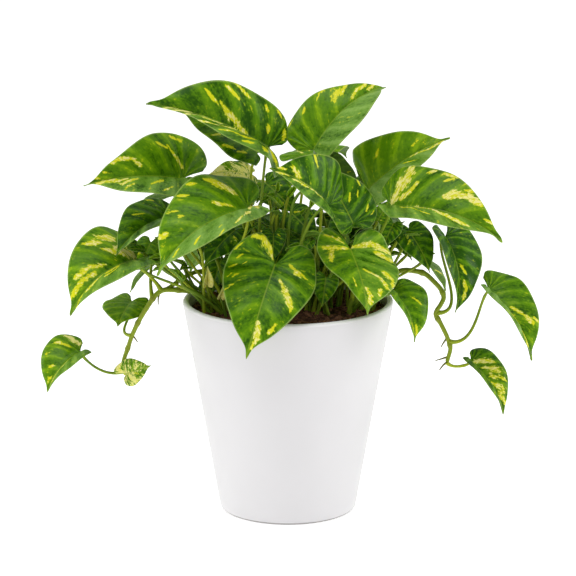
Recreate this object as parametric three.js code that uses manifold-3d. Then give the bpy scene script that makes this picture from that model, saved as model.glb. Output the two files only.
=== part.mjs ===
// Potted pothos: a tapered pot, its soil, ten rooted stems and their heart-shaped leaves.
// Units are millimetres. +Z is up, the pot stands on z = 0 and its front looks along -Y.
import * as THREE from "three";
import { mergeVertices } from "three/addons/utils/BufferGeometryUtils.js";
import Module from "manifold-3d";

const wasm = await Module();
wasm.setup();

// Pot
const POT_TOP_RADIUS = 76;
const POT_FOOT_RADIUS = 49;
const POT_HEIGHT = 155;
const POT_WALL = 4.5;
const POT_FLOOR = 6;
const POT_SIDES = 48;
// Soil and the holes in it
const SOIL_TOP = 149;
const SOIL_GAP = 0.3;
const SOIL_EDGE_WIDTH = 6;
const SOIL_EDGE_DROP = 0.4;
const HOLE_GAP = 0.3;
const HOLE_SIDES = 8;
const STEM_FOOT = 131.5;
const STEM_STRAIGHT_TOP = 151;
// Leaf blades
const BLADE_THICKNESS = 0.7;
const LEAF_HALF_WIDTH = 0.39;
const VEIN_OUT = 0.55;
const VEIN_AHEAD = 0.35;
const RIB_STEPS = 24;
const FULL_FROM = 0.3;
const CUP_START = 0.12;
const CUP_LENGTH = 0.24;
const EDGE_WAVE = 0.014;
const WAVE_STEP = 1.9;
const WAVE_SHIFT = 1.7;
// Stems and stalks
const STEM_RADIUS = 2.4;
const STEM_SIDES = 6;
const STALK_TIP_RADIUS = 0.9;
const STALK_END_DROP = 1.1;
const STALK_SIDES = 5;
const STALK_STEPS = 7;
// What a leaf has unless its own row says otherwise. Pairs are for the left and the right half.
const LEAF_DEFAULTS = {
  arch: 40,
  droop: 1.3,
  sway: 0,
  fold: [12, 12],
  curl: [-20, -20],
  cup: [0, 0],
  lobe: [1, 1],
  wide: [1, 1],
  full: [0, 0],
  columns: 2,
  stalk: 1.25,
  leave: [0, 0, 1],
  rise: 0.4,
  reach: 0.3,
  ahead: 0.5,
};

const GREEN = 0x3d7a1c;
const STEM_GREEN = 0x7fa03a;

const vec = (p) => new THREE.Vector3(p[0], p[1], p[2]);
const rad = THREE.MathUtils.degToRad;

// A direction turned by an angle towards another one at right angles to it.
function turned(direction, towards, angle) {
  return direction.clone().multiplyScalar(Math.cos(angle)).addScaledVector(towards, Math.sin(angle));
}

function material(colour, roughness) {
  return new THREE.MeshStandardMaterial({ color: colour, roughness, metalness: 0 });
}

function geometryFrom(points, triangles) {
  const geometry = new THREE.BufferGeometry();
  const numbers = points.flatMap((p) => [p.x, p.y, p.z]);
  geometry.setAttribute("position", new THREE.Float32BufferAttribute(numbers, 3));
  geometry.setIndex(triangles.flat());
  return geometry;
}

// Half of a flat leaf, from the inner edge of the lobe round to the tip.
// Each row: distance to the side, distance along the midrib, and the foot of that vein on the midrib.
const HALF_LEAF = [
  [0.085, -0.125, 0],
  [0.165, -0.16, 0],
  [0.26, -0.135, 0],
  [0.34, -0.05, 0],
  [0.388, 0.08, 0],
  [0.39, 0.23, 0.06],
  [0.355, 0.38, 0.17],
  [0.29, 0.53, 0.31],
  [0.205, 0.68, 0.48],
  [0.115, 0.82, 0.66],
  [0.042, 0.93, 0.84],
  [0, 1, 1],
];

// The midrib in its own plane, as a row of points and turning angles for a midrib of length 1.
// It bends slowly near the base and more and more towards the tip.
function ribShape(arch, droop) {
  const rows = [[0, 0, 0]];
  for (let i = 1; i <= RIB_STEPS; i += 1) {
    const [x, z] = rows[i - 1];
    const turn = -rad(arch) * ((i - 0.5) / RIB_STEPS) ** droop;
    rows.push([x + Math.cos(turn) / RIB_STEPS, z + Math.sin(turn) / RIB_STEPS, 0]);
  }
  const [endX, endZ] = rows[RIB_STEPS];
  const tilt = -Math.atan2(endZ, endX);
  return rows.map(([x, z], i) => [
    x * Math.cos(tilt) - z * Math.sin(tilt),
    x * Math.sin(tilt) + z * Math.cos(tilt),
    tilt - rad(arch) * (i / RIB_STEPS) ** droop,
  ]);
}

// A frame for one leaf: the chord from base to tip, the way its upper side looks, and its right side.
function leafFrame(leaf) {
  const base = vec(leaf.base);
  const chord = vec(leaf.tip).sub(base);
  const reach = chord.length();
  chord.normalize();
  const up = vec(leaf.face);
  up.addScaledVector(chord, -up.dot(chord)).normalize();
  const side = chord.clone().cross(up);
  const rib = ribShape(leaf.arch, leaf.droop);
  return { base, chord, up, side, rib, length: reach / rib[RIB_STEPS][0] };
}

// Place and turning angle at a distance y along the midrib; behind the base it runs straight on.
function ribAt(rib, y) {
  const place = Math.min(Math.max(y, 0), 1) * RIB_STEPS;
  const i = Math.min(Math.floor(place), RIB_STEPS - 1);
  const t = place - i;
  const [x, z, angle] = rib[i].map((value, k) => value + (rib[i + 1][k] - value) * t);
  const behind = Math.min(y, 0);
  return [x + behind * Math.cos(angle), z + behind * Math.sin(angle), angle];
}

// Where a point of the flat leaf goes once the blade is folded, arched, swayed and waved.
function leafPoint(leaf, frame, x, y, waviness) {
  const { base, chord, up, side, rib, length } = frame;
  const [along, lift, angle] = ribAt(rib, y);
  const which = x < 0 ? 0 : 1;
  const cup = leaf.cup[which] * Math.min(Math.max((CUP_START - y) / CUP_LENGTH, 0), 1);
  const curl = (leaf.curl[which] * Math.abs(x)) / LEAF_HALF_WIDTH / 2;
  const fullness = 1 + leaf.full[which] * (Math.min(Math.max(y, 0), 1) - FULL_FROM);
  const spread = Math.abs(x) * length * leaf.wide[which] * fullness;
  const lean = rad(leaf.fold[which] + cup + curl);
  const out = spread * Math.cos(lean) * (x < 0 ? -1 : 1);
  const rise = spread * Math.sin(lean) + waviness;
  const sway = (leaf.sway * length * Math.sin(Math.PI * Math.max(y, 0))) / 2;
  const normal = turned(up, chord, -angle);
  return base
    .clone()
    .addScaledVector(chord, along * length)
    .addScaledVector(up, lift * length)
    .addScaledVector(side, out + sway)
    .addScaledVector(normal, rise);
}

// A closed leaf blade with both faces split into the same triangles.
function leafGeometry(leaf) {
  const frame = leafFrame(leaf);
  const { columns, lobe } = leaf;
  const last = HALF_LEAF.length - 1;
  const middle = [];
  const keys = new Map();
  const wave = EDGE_WAVE * frame.length;
  const phase = LEAVES.indexOf(leaf) * WAVE_SHIFT;

  function vertex(sign, i, j) {
    const [ex, ey, foot] = HALF_LEAF[i];
    const w = j / columns;
    const onRib = j === 0 || i === last;
    const key = onRib ? `rib${foot}` : `${sign},${i},${j}`;
    if (!keys.has(key)) {
      const edgeY = ey < 0 ? ey * lobe[sign < 0 ? 0 : 1] : ey;
      const bendX = VEIN_OUT * ex;
      const bendY = foot + VEIN_AHEAD * (edgeY - foot);
      const x = 2 * w * (1 - w) * bendX + w * w * ex;
      const y = (1 - w) * (1 - w) * foot + 2 * w * (1 - w) * bendY + w * w * edgeY;
      const ripple = onRib ? 0 : wave * w * w * Math.sin(i * WAVE_STEP + phase + sign);
      keys.set(key, middle.length);
      middle.push(leafPoint(leaf, frame, onRib ? 0 : sign * x, onRib ? foot : y, ripple));
    }
    return keys.get(key);
  }

  const faces = [];
  for (const sign of [1, -1]) {
    for (let i = 0; i < last; i += 1) {
      for (let j = 0; j < columns; j += 1) {
        const a = vertex(sign, i, j);
        const b = vertex(sign, i + 1, j);
        const c = vertex(sign, i + 1, j + 1);
        const d = vertex(sign, i, j + 1);
        for (const triangle of [[a, c, b], [a, d, c]]) {
          if (new Set(triangle).size === 3) {
            faces.push(sign > 0 ? triangle : [triangle[0], triangle[2], triangle[1]]);
          }
        }
      }
    }
  }

  const normals = middle.map(() => new THREE.Vector3());
  for (const [a, b, c] of faces) {
    const across = middle[b].clone().sub(middle[a]).cross(middle[c].clone().sub(middle[a]));
    for (const index of [a, b, c]) normals[index].add(across);
  }
  const half = BLADE_THICKNESS / 2;
  const top = middle.map((p, i) => p.clone().addScaledVector(normals[i].normalize(), half));
  const bottom = middle.map((p, i) => p.clone().addScaledVector(normals[i], -half));
  const count = middle.length;
  const triangles = [];
  const edges = new Map();
  for (const [a, b, c] of faces) {
    triangles.push([a, b, c], [a + count, c + count, b + count]);
    for (const [from, to] of [[a, b], [b, c], [c, a]]) {
      edges.set(`${from},${to}`, [from, to]);
    }
  }
  for (const [from, to] of edges.values()) {
    if (!edges.has(`${to},${from}`)) {
      triangles.push([to, from, from + count], [to, from + count, to + count]);
    }
  }
  return geometryFrom([...top, ...bottom], triangles);
}

// A closed tube through a row of points, with a radius at each of them.
function tubeGeometry(points, radii, sides) {
  const rings = [];
  let across = null;
  for (let i = 0; i < points.length; i += 1) {
    const before = points[Math.max(i - 1, 0)];
    const after = points[Math.min(i + 1, points.length - 1)];
    const direction = after.clone().sub(before).normalize();
    if (across === null) {
      across = Math.abs(direction.x) < 0.8 ? new THREE.Vector3(1, 0, 0) : new THREE.Vector3(0, 1, 0);
    }
    across.addScaledVector(direction, -across.dot(direction)).normalize();
    const other = direction.clone().cross(across);
    for (let k = 0; k < sides; k += 1) {
      const angle = (2 * Math.PI * k) / sides;
      rings.push(
        points[i]
          .clone()
          .addScaledVector(across, Math.cos(angle) * radii[i])
          .addScaledVector(other, Math.sin(angle) * radii[i]),
      );
    }
  }
  const triangles = [];
  for (let i = 0; i < points.length - 1; i += 1) {
    for (let k = 0; k < sides; k += 1) {
      const a = i * sides + k;
      const b = i * sides + ((k + 1) % sides);
      triangles.push([a, b, b + sides], [a, b + sides, a + sides]);
    }
  }
  const end = (points.length - 1) * sides;
  for (let k = 1; k < sides - 1; k += 1) {
    triangles.push([0, k + 1, k], [end, end + k, end + k + 1]);
  }
  return geometryFrom(rings, triangles);
}

function solidOf(geometry) {
  const mesh = new wasm.Mesh({
    numProp: 3,
    vertProperties: new Float32Array(geometry.attributes.position.array),
    triVerts: new Uint32Array(geometry.index.array),
  });
  return new wasm.Manifold(mesh);
}

function geometryOf(solid) {
  const mesh = solid.getMesh();
  const geometry = new THREE.BufferGeometry();
  geometry.setAttribute("position", new THREE.BufferAttribute(new Float32Array(mesh.vertProperties), 3));
  geometry.setIndex([...mesh.triVerts]);
  return geometry;
}

// The stalk of one leaf, from its stem to just under the blade's base.
function stalkPoints(leaf) {
  const frame = leafFrame(leaf);
  const angle = frame.rib[0][2];
  const ahead = turned(frame.chord, frame.up, angle);
  const normal = turned(frame.up, frame.chord, -angle);
  const end = frame.base.clone().addScaledVector(normal, -STALK_END_DROP);
  const arrive = ahead.clone().multiplyScalar(leaf.ahead).add(normal).normalize();
  const start = vec(leaf.from);
  const distance = start.distanceTo(end);
  const leave = vec(leaf.leave).normalize();
  const curve = new THREE.CubicBezierCurve3(
    start,
    start.clone().addScaledVector(leave, distance * leaf.rise),
    end.clone().addScaledVector(arrive, -distance * leaf.reach),
    end,
  );
  return curve.getPoints(STALK_STEPS);
}

function stalkGeometry(leaf) {
  const points = stalkPoints(leaf);
  const thinning = Math.max(leaf.stalk - STALK_TIP_RADIUS, 0);
  const radii = points.map((p, i) => leaf.stalk - thinning * (i / STALK_STEPS) ** 2);
  return tubeGeometry(points, radii, STALK_SIDES);
}

// The path of a branch that stands straight in its soil hole before it goes on.
function rooted(x, y, ...rest) {
  return [[x, y, STEM_FOOT], [x, y, STEM_STRAIGHT_TOP], ...rest];
}

// A stem with one short upright branch; its stalks carry the leaves.
function shortStem(x, y, top) {
  return [{ radius: STEM_RADIUS, tipRadius: 1.8, sides: STEM_SIDES, path: rooted(x, y, top) }];
}

// A thin root hanging in the air from a trailing stem.
function airRoot(radius, ...path) {
  return { radius, tipRadius: radius * 0.65, sides: STALK_SIDES, path };
}

const STEMS = {
  stem_trailing_left: [
    {
      radius: 2,
      tipRadius: 1.5,
      sides: STEM_SIDES,
      path: rooted(
        -57, 2, [-61, 1, 156], [-68, 0, 160], [-75, 0, 161], [-83, -2, 162], [-90, -4, 162],
        [-95.5, -5, 158], [-101, -6, 150], [-107, -6, 140], [-112, -5, 129], [-115, -4, 120],
        [-118, -3, 111], [-119, -3, 105], [-118, -4, 101],
      ),
    },
    {
      radius: 1.7,
      tipRadius: 1.5,
      sides: STEM_SIDES,
      path: rooted(
        -47, 19, [-52, 19, 163], [-62, 16, 171], [-73, 9, 169.5], [-85, -1, 163.5], [-90, -4, 162],
      ),
    },
    airRoot(0.8, [-92, -4, 161], [-93, -5, 156], [-93, -5, 151.5]),
    airRoot(0.8, [-112, -5, 129], [-110, -5.5, 127], [-108, -6, 124]),
  ],
  stem_trailing_right: [
    {
      radius: 2.1,
      tipRadius: 1.5,
      sides: STEM_SIDES,
      path: rooted(
        61, 8, [65, 8, 160], [73, 8, 169], [82, 9, 173.5], [92, 9, 173], [99, 8, 171], [105, 6, 166],
        [110, 5, 160.5], [112, 4, 155], [110, 3, 150], [107, 2, 145.5], [106.5, 2, 142], [110, 1, 136],
        [114, 0, 128], [116, 0, 122.5], [117, -1, 118], [116, -1, 113], [114.5, -2, 108],
      ),
    },
    airRoot(0.8, [114, 0, 125], [112, 0, 122], [110, 0, 118.5]),
    airRoot(0.8, [115.5, -1, 112], [111, -1, 110.5], [106, -1, 109]),
    airRoot(0.9, [114.5, -2, 108], [112, -2, 106], [109, -2, 102]),
  ],
  stem_left: shortStem(-44, -12, [-45, -11, 160]),
  stem_centre_left: shortStem(-22, 4, [-22, 5, 168]),
  stem_centre: shortStem(-4, -24, [-4, -23, 158]),
  stem_centre_right: shortStem(20, -4, [21, -3, 164]),
  stem_right: shortStem(44, -18, [46, -17, 160]),
  stem_back_left: shortStem(-30, 34, [-32, 35, 162]),
  stem_back: shortStem(2, 44, [2, 45, 160]),
  stem_back_right: shortStem(34, 30, [36, 31, 162]),
};

// Leaves: base and tip of the midrib, the way the upper side looks, and where the stalk leaves its stem.
// fold and curl are in degrees for the left and right half; arch is the midrib's whole bend.
const LEAF_ROWS = [
  // front half of the plant, from the top down
  { name: "leaf_top_left", stem: "stem_centre_left", base: [-14, -6, 267], tip: [-100, -15, 300],
    face: [0.18, -0.64, 0.75], arch: 40, fold: [44, 34], curl: [-12, -16], cup: [-25, 0],
    wide: [1.1, 0.88], full: [-0.2, 0.6], lobe: [0.5, 0.7], from: [-22, 5, 166], leave: [0, -0.4, 1],
    reach: 0.12 },
  { name: "leaf_top_left_under", stem: "stem_centre_left", base: [-22, 14, 259], tip: [-79, 3, 292],
    face: [-0.1, -0.45, 0.9], arch: 35, fold: [4, 10], wide: [0.82, 1], full: [1, 0], lobe: [0.3, 1],
    from: [-22, 5, 164], leave: [0, 0.2, 1] },
  { name: "leaf_top_right", stem: "stem_centre_right", base: [18, 5, 263], tip: [70, 28, 304],
    face: [-0.5, -0.67, 0.55], arch: 70, fold: [22, 32], curl: [-16, -16], wide: [0.95, 1.2],
    full: [0, 1], lobe: [0.6, 0], from: [21, -3, 162] },
  { name: "leaf_centre", stem: "stem_centre", base: [28, -46, 234], tip: [-13, -64, 264],
    face: [0.3, -0.75, 0.6], arch: 60, fold: [40, 12], curl: [-14, -14], wide: [0.95, 1.4],
    full: [1, 0], lobe: [0.2, 1.2], from: [-4, -23, 154], leave: [0.3, -0.1, 1] },
  { name: "leaf_centre_behind", stem: "stem_centre_right", base: [46, -25, 216], tip: [19, -21, 258],
    face: [0.25, -0.82, 0.45], arch: 40, fold: [20, 10], wide: [0.7, 1.15], lobe: [0.4, 1.2],
    from: [21, -3, 158], leave: [0.3, -0.1, 1] },
  { name: "leaf_left_upper", stem: "stem_left", base: [-75, 8, 241], tip: [-144, -28, 244],
    face: [0, -0.65, 0.77], arch: 35, fold: [30, 28], curl: [-14, -16], cup: [40, 0], wide: [1.1, 1.05],
    full: [0.9, -0.5], lobe: [0.2, 1.9], from: [-45, -11, 158] },
  { name: "leaf_left_front", stem: "stem_left", base: [-28, -38, 230], tip: [-91, -75, 190],
    face: [-0.36, -0.66, 0.66], arch: 72, fold: [34, 20], wide: [0.95, 1.14], full: [0.9, 0],
    lobe: [0.15, 1.5], from: [-45, -11, 156], leave: [0.1, -0.3, 1] },
  { name: "leaf_left_outer", stem: "stem_trailing_left", base: [-108, -5, 185], tip: [-154, -35, 151],
    face: [-0.39, -0.66, 0.64], arch: 80, fold: [34, 20], wide: [1.05, 1.4], full: [0, -0.2],
    lobe: [0.2, 1], from: [-91, -4, 162], leave: [-0.5, 0.2, 1] },
  { name: "leaf_left_middle", stem: "stem_left", base: [-85, 6, 214], tip: [-122, -24, 192],
    face: [-0.35, -0.6, 0.7], arch: 60, fold: [36, 22], wide: [1.1, 1.1], lobe: [0.2, 1.3],
    from: [-45, -11, 154], leave: [-0.4, 0.3, 1] },
  { name: "leaf_left_behind", stem: "stem_trailing_left", base: [-99, 20, 192], tip: [-106, 6, 172],
    face: [-0.2, -0.8, 0.5], arch: 30, columns: 1, from: [-97, -5, 156], leave: [-0.3, 0.5, 1] },
  { name: "leaf_vine_left_upper", stem: "stem_trailing_left", base: [-113, 17, 149],
    tip: [-122, -14, 138], face: [-0.1, -0.6, 0.8], arch: 25, fold: [6, 6], wide: [1.2, 1.45],
    full: [0.5, 0.4], lobe: [1.7, 2], columns: 1, stalk: 1, from: [-112, -5, 129],
    leave: [-1, 0.3, -0.1], rise: 0.5, reach: 0.5 },
  { name: "leaf_vine_left_lower", stem: "stem_trailing_left", base: [-149, -10, 118],
    tip: [-172, -25, 92], face: [-0.47, -0.68, 0.56], arch: 70, fold: [36, 22], wide: [0.95, 1.45],
    lobe: [0.2, 1.3], columns: 1, stalk: 1, from: [-118, -4, 102], leave: [-1, -0.1, -0.4], rise: 0.4,
    reach: 0.4 },
  { name: "leaf_vine_left_tip", stem: "stem_trailing_left", base: [-116, -14, 103],
    tip: [-98, -22, 111], face: [-0.2, -0.9, 0.3], arch: 20, fold: [10, 10], wide: [1.2, 1.2],
    lobe: [3, 1], columns: 1, stalk: 1, from: [-118, -4, 102], leave: [0.1, -0.3, -1], rise: 0.3,
    reach: 0.2 },
  { name: "leaf_front_left", stem: "stem_centre", base: [-9, -52, 193], tip: [-29, -92, 135],
    face: [0, -0.8, 0.6], arch: 45, fold: [6, 6], curl: [-14, -14], cup: [0, 45], wide: [1.08, 1.12],
    lobe: [1.9, 1.0], from: [-4, -23, 156], leave: [0, -0.1, 1] },
  { name: "leaf_front_right", stem: "stem_centre_right", base: [44, -35, 200], tip: [55, -90, 166],
    face: [0.3, -0.5, 0.85], arch: 30, droop: 2, fold: [2, 6], curl: [-14, -14], cup: [24, 12],
    wide: [1.28, 0.98], full: [0.3, -0.3], lobe: [1.7, 1.7], from: [21, -3, 150],
    leave: [0.6, -0.2, 1] },
  { name: "leaf_right_upper", stem: "stem_right", base: [57, 17, 231], tip: [116, 12, 270],
    face: [-0.32, -0.65, 0.69], arch: 42, fold: [26, 28], curl: [-14, -14], cup: [-30, 0],
    wide: [1.05, 1.05], full: [0, 0.3], lobe: [0, 0], from: [46, -17, 158] },
  { name: "leaf_right_long", stem: "stem_right", base: [72, -26, 229], tip: [150, -54, 209],
    face: [0.18, -0.64, 0.74], arch: 65, droop: 1.8, fold: [24, 34], curl: [-14, -16], cup: [0, 40],
    wide: [0.94, 0.75], full: [0.1, 1], lobe: [0.7, 0], from: [46, -17, 156], leave: [0.2, 0.3, 1] },
  { name: "leaf_right_lower", stem: "stem_trailing_right", base: [113, 12, 198], tip: [120, -6, 146],
    face: [0.6, -0.75, 0.25], arch: 70, fold: [20, 40], lobe: [1, 0.5], from: [107, 2, 144],
    leave: [1, 0.1, -0.1], rise: 0.5, reach: 0.35 },
  { name: "leaf_right_rim", stem: "stem_right", base: [74, -40, 171], tip: [89, -58, 138],
    face: [0.55, -0.7, 0.42], arch: 65, fold: [18, 46], wide: [1.3, 1.2], lobe: [1, 0.4], columns: 1,
    from: [46, -17, 150], leave: [0.6, -0.4, 1] },
  { name: "leaf_vine_right_upper", stem: "stem_trailing_right", base: [144, 5, 160],
    tip: [174, -20, 114], face: [0.5, -0.7, 0.5], arch: 65, fold: [22, 48], wide: [0.97, 0.62],
    full: [0, 0.5], lobe: [1.4, 0.1], from: [116, 0, 123], leave: [1, 0, -0.2], rise: 0.45,
    reach: 0.35 },
  { name: "leaf_vine_right_lower", stem: "stem_trailing_right", base: [132, 0, 108],
    tip: [155, -15, 72], face: [0.52, -0.7, 0.48], arch: 60, fold: [20, 50], wide: [1, 0.9],
    lobe: [1, 0.1], columns: 1, stalk: 1, from: [114.5, -2, 108], leave: [0.6, -0.1, -0.8], rise: 0.35,
    reach: 0.35 },
  // smaller leaves seen between them
  { name: "leaf_inner_right_low", stem: "stem_right", base: [86, 0, 205], tip: [101, -16, 178],
    face: [0.4, -0.7, 0.6], arch: 35, fold: [20, 6], lobe: [1, 0.5], columns: 1, from: [46, -17, 152],
    leave: [0.6, 0.1, 1] },
  { name: "leaf_inner_right_back", stem: "stem_back_right", base: [79, 14, 201], tip: [89, 9, 181],
    face: [0.3, -0.8, 0.5], arch: 20, columns: 1, from: [36, 31, 160], leave: [0.6, -0.1, 1] },
  { name: "leaf_inner_olive", stem: "stem_right", base: [64, -11, 215], tip: [72, -13, 231],
    face: [0, -0.9, 0.2], arch: 10, lobe: [0.6, 0.6], columns: 1, stalk: 0.9, from: [46, -17, 156] },
  { name: "leaf_inner_notch", stem: "stem_right", base: [75, -8, 212], tip: [67, -13, 195],
    face: [0, -0.8, 0.5], arch: 20, columns: 1, from: [46, -17, 154], leave: [0.5, -0.2, 1] },
  { name: "leaf_top_middle_behind", stem: "stem_back_right", base: [28, 42, 246], tip: [52, 32, 226],
    face: [0.2, 0.8, 0.6], arch: 30, wide: [1.1, 1.1], columns: 1, from: [36, 31, 158] },
  { name: "leaf_cream", stem: "stem_centre_left", base: [-27, 35, 239], tip: [-58, 20, 241],
    face: [0, -0.5, 0.85], arch: 35, wide: [0.95, 0.95], lobe: [0.4, 1], columns: 1,
    from: [-22, 5, 162], leave: [-0.1, 0.6, 1] },
  { name: "leaf_inner_middle", stem: "stem_back", base: [-16, 49, 229], tip: [7, 37, 208],
    face: [0, -0.8, 0.6], arch: 30, columns: 1, from: [2, 45, 158] },
  { name: "leaf_inner_low", stem: "stem_centre_right", base: [27, -22, 176], tip: [24, -38, 158],
    face: [0, -0.8, 0.6], arch: 20, columns: 1, stalk: 0.9, from: [21, -3, 148],
    leave: [0.3, -0.5, 1] },
  { name: "leaf_inner_left", stem: "stem_left", base: [-38, 2, 205], tip: [-60, -20, 183],
    face: [-0.3, -0.7, 0.6], arch: 30, columns: 1, from: [-45, -11, 158], leave: [0.2, 0.3, 1] },
  { name: "leaf_inner_centre_high", stem: "stem_back", base: [2, 23, 213], tip: [21, 6, 195],
    face: [0.1, -0.8, 0.6], arch: 35, columns: 1, from: [2, 45, 158], leave: [0, -0.3, 1] },
  { name: "leaf_inner_centre_right", stem: "stem_centre_right", base: [12, 21, 191], tip: [33, 9, 172],
    face: [0.2, -0.8, 0.5], arch: 35, columns: 1, from: [21, -3, 156], leave: [-0.3, 0.5, 1] },
  { name: "leaf_inner_centre_left", stem: "stem_centre", base: [-2, 6, 195], tip: [-15, -10, 166],
    face: [-0.1, -0.8, 0.5], arch: 35, columns: 1, from: [-4, -23, 156], leave: [0.1, 0.5, 1] },
  { name: "leaf_inner_left_low", stem: "stem_trailing_left", base: [-48, 12, 181], tip: [-55, 0, 157],
    face: [-0.3, -0.8, 0.5], arch: 30, columns: 1, stalk: 1, from: [-54, 18, 165], leave: [0.2, 0, 1] },
  { name: "leaf_inner_right_mid", stem: "stem_centre_right", base: [42, 9, 210], tip: [31, -2, 187],
    face: [0.1, -0.8, 0.5], arch: 30, columns: 1, from: [21, -3, 160], leave: [0.4, 0.1, 1] },
  { name: "leaf_inner_centre_low", stem: "stem_back", base: [16, 30, 178], tip: [1, 12, 158],
    face: [0, -0.8, 0.5], arch: 30, columns: 1, from: [2, 45, 154], leave: [0.3, -0.4, 1] },
  // back and sides
  { name: "leaf_back_01", stem: "stem_back_left", base: [-50, 46, 222], tip: [-112, 72, 200],
    face: [-0.3, 0.4, 0.8], arch: 45, sway: -0.07, from: [-32, 35, 160], leave: [-0.2, 0.1, 1] },
  { name: "leaf_back_02", stem: "stem_back_left", base: [-42, 62, 190], tip: [-74, 104, 146],
    face: [-0.4, 0.7, 0.5], arch: 50, from: [-32, 35, 158], leave: [-0.2, 0.6, 1] },
  { name: "leaf_back_03", stem: "stem_back_left", base: [-30, 50, 258], tip: [-66, 88, 272],
    face: [-0.3, 0.5, 0.8], arch: 50, sway: 0.08, from: [-32, 35, 160], leave: [0, 0.2, 1] },
  { name: "leaf_back_04", stem: "stem_back_left", base: [-66, 40, 186], tip: [-116, 46, 148],
    face: [-0.7, 0.3, 0.6], arch: 45, from: [-32, 35, 156], leave: [-0.6, 0.1, 1] },
  { name: "leaf_back_05", stem: "stem_back", base: [-6, 71, 223], tip: [-26, 132, 194],
    face: [-0.1, 0.6, 0.8], arch: 50, sway: -0.08, from: [2, 45, 158], leave: [0, 0.2, 1] },
  { name: "leaf_back_06", stem: "stem_back", base: [12, 77, 184], tip: [18, 110, 130],
    face: [0, 0.8, 0.5], arch: 45, from: [2, 45, 156], leave: [0.1, 0.6, 1] },
  { name: "leaf_back_07", stem: "stem_back", base: [12, 60, 246], tip: [44, 106, 236],
    face: [0.2, 0.5, 0.8], arch: 50, sway: 0.07, from: [2, 45, 158], leave: [0.1, 0.1, 1] },
  { name: "leaf_back_08", stem: "stem_back_right", base: [48, 56, 204], tip: [84, 96, 166],
    face: [0.4, 0.6, 0.6], arch: 50, from: [36, 31, 156], leave: [0.2, 0.5, 1] },
  { name: "leaf_back_09", stem: "stem_back_right", base: [56, 40, 232], tip: [112, 66, 218],
    face: [0.3, 0.3, 0.9], arch: 45, sway: -0.06, from: [36, 31, 160], leave: [0.2, 0, 1] },
  { name: "leaf_back_10", stem: "stem_back_right", base: [76, 36, 186], tip: [116, 58, 146],
    face: [0.7, 0.3, 0.6], arch: 45, sway: 0.08, from: [36, 31, 154], leave: [0.7, 0.1, 1] },
  { name: "leaf_back_11", stem: "stem_back", base: [-20, 84, 196], tip: [-44, 116, 150],
    face: [-0.2, 0.8, 0.5], arch: 40, columns: 1, from: [2, 45, 154], leave: [-0.3, 0.8, 1] },
];

const LEAVES = LEAF_ROWS.map((row) => ({ ...LEAF_DEFAULTS, ...row }));

function stemPoints(branch) {
  const [start, straight, ...rest] = branch.path.map(vec);
  const curve = new THREE.CatmullRomCurve3([straight, ...rest], false, "centripetal");
  return [start, ...curve.getPoints(rest.length)];
}

function stemGeometry(branch) {
  const points = stemPoints(branch);
  const taper = (branch.radius - branch.tipRadius) / (points.length - 1);
  const radii = points.map((p, i) => branch.radius - (i < 2 ? 0 : taper * i));
  return tubeGeometry(points, radii, branch.sides);
}

function addMesh(group, name, geometry, colour, roughness) {
  const mesh = new THREE.Mesh(geometry, material(colour, roughness));
  mesh.name = name;
  group.add(mesh);
}

function lathed(profile) {
  const geometry = new THREE.LatheGeometry(profile.map(([r, z]) => new THREE.Vector2(r, z)), POT_SIDES);
  geometry.rotateX(Math.PI / 2);
  geometry.deleteAttribute("normal");
  geometry.deleteAttribute("uv");
  return mergeVertices(geometry, 1e-4);
}

function outerRadius(z) {
  return POT_FOOT_RADIUS + ((POT_TOP_RADIUS - POT_FOOT_RADIUS) * z) / POT_HEIGHT;
}

function innerRadius(z) {
  return outerRadius(z) - POT_WALL;
}

function potGeometry() {
  return lathed([
    [0, 0],
    [POT_FOOT_RADIUS - 4, 0],
    [POT_FOOT_RADIUS - 1.4, 0.7],
    [POT_FOOT_RADIUS + 0.2, 2.2],
    [outerRadius(5), 5],
    [outerRadius(POT_HEIGHT - 2), POT_HEIGHT - 2],
    [outerRadius(POT_HEIGHT) - 0.9, POT_HEIGHT - 0.3],
    [outerRadius(POT_HEIGHT) - 2.2, POT_HEIGHT],
    [innerRadius(POT_HEIGHT) + 1, POT_HEIGHT - 0.4],
    [innerRadius(POT_HEIGHT - 2), POT_HEIGHT - 2],
    [innerRadius(POT_FLOOR + 3), POT_FLOOR + 3],
    [innerRadius(POT_FLOOR) - 3, POT_FLOOR],
    [0, POT_FLOOR],
  ]);
}

function soilGeometry() {
  const low = POT_FLOOR + SOIL_GAP;
  const edge = SOIL_TOP - 2;
  let soil = solidOf(
    lathed([
      [0, low],
      [innerRadius(low) - 4, low],
      [innerRadius(low + 4) - SOIL_GAP, low + 4],
      [innerRadius(edge) - SOIL_GAP, edge],
      [innerRadius(edge) - SOIL_EDGE_WIDTH, SOIL_TOP - SOIL_EDGE_DROP],
      [0, SOIL_TOP],
    ]),
  );
  for (const branches of Object.values(STEMS)) {
    for (const { path, radius } of branches) {
      if (path[0][2] > SOIL_TOP) continue;
      const [x, y, z] = path[0];
      const ends = [vec([x, y, z - HOLE_GAP]), vec([x, y, SOIL_TOP + 5])];
      const wide = (radius + HOLE_GAP) / Math.cos(Math.PI / HOLE_SIDES);
      soil = soil.subtract(solidOf(tubeGeometry(ends, [wide, wide], HOLE_SIDES)));
    }
  }
  return geometryOf(soil);
}

function stemNode(name) {
  const tubes = STEMS[name].map(stemGeometry);
  for (const leaf of LEAVES) {
    if (leaf.stem === name) tubes.push(stalkGeometry(leaf));
  }
  return geometryOf(tubes.map(solidOf).reduce((all, next) => all.add(next)));
}

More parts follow.
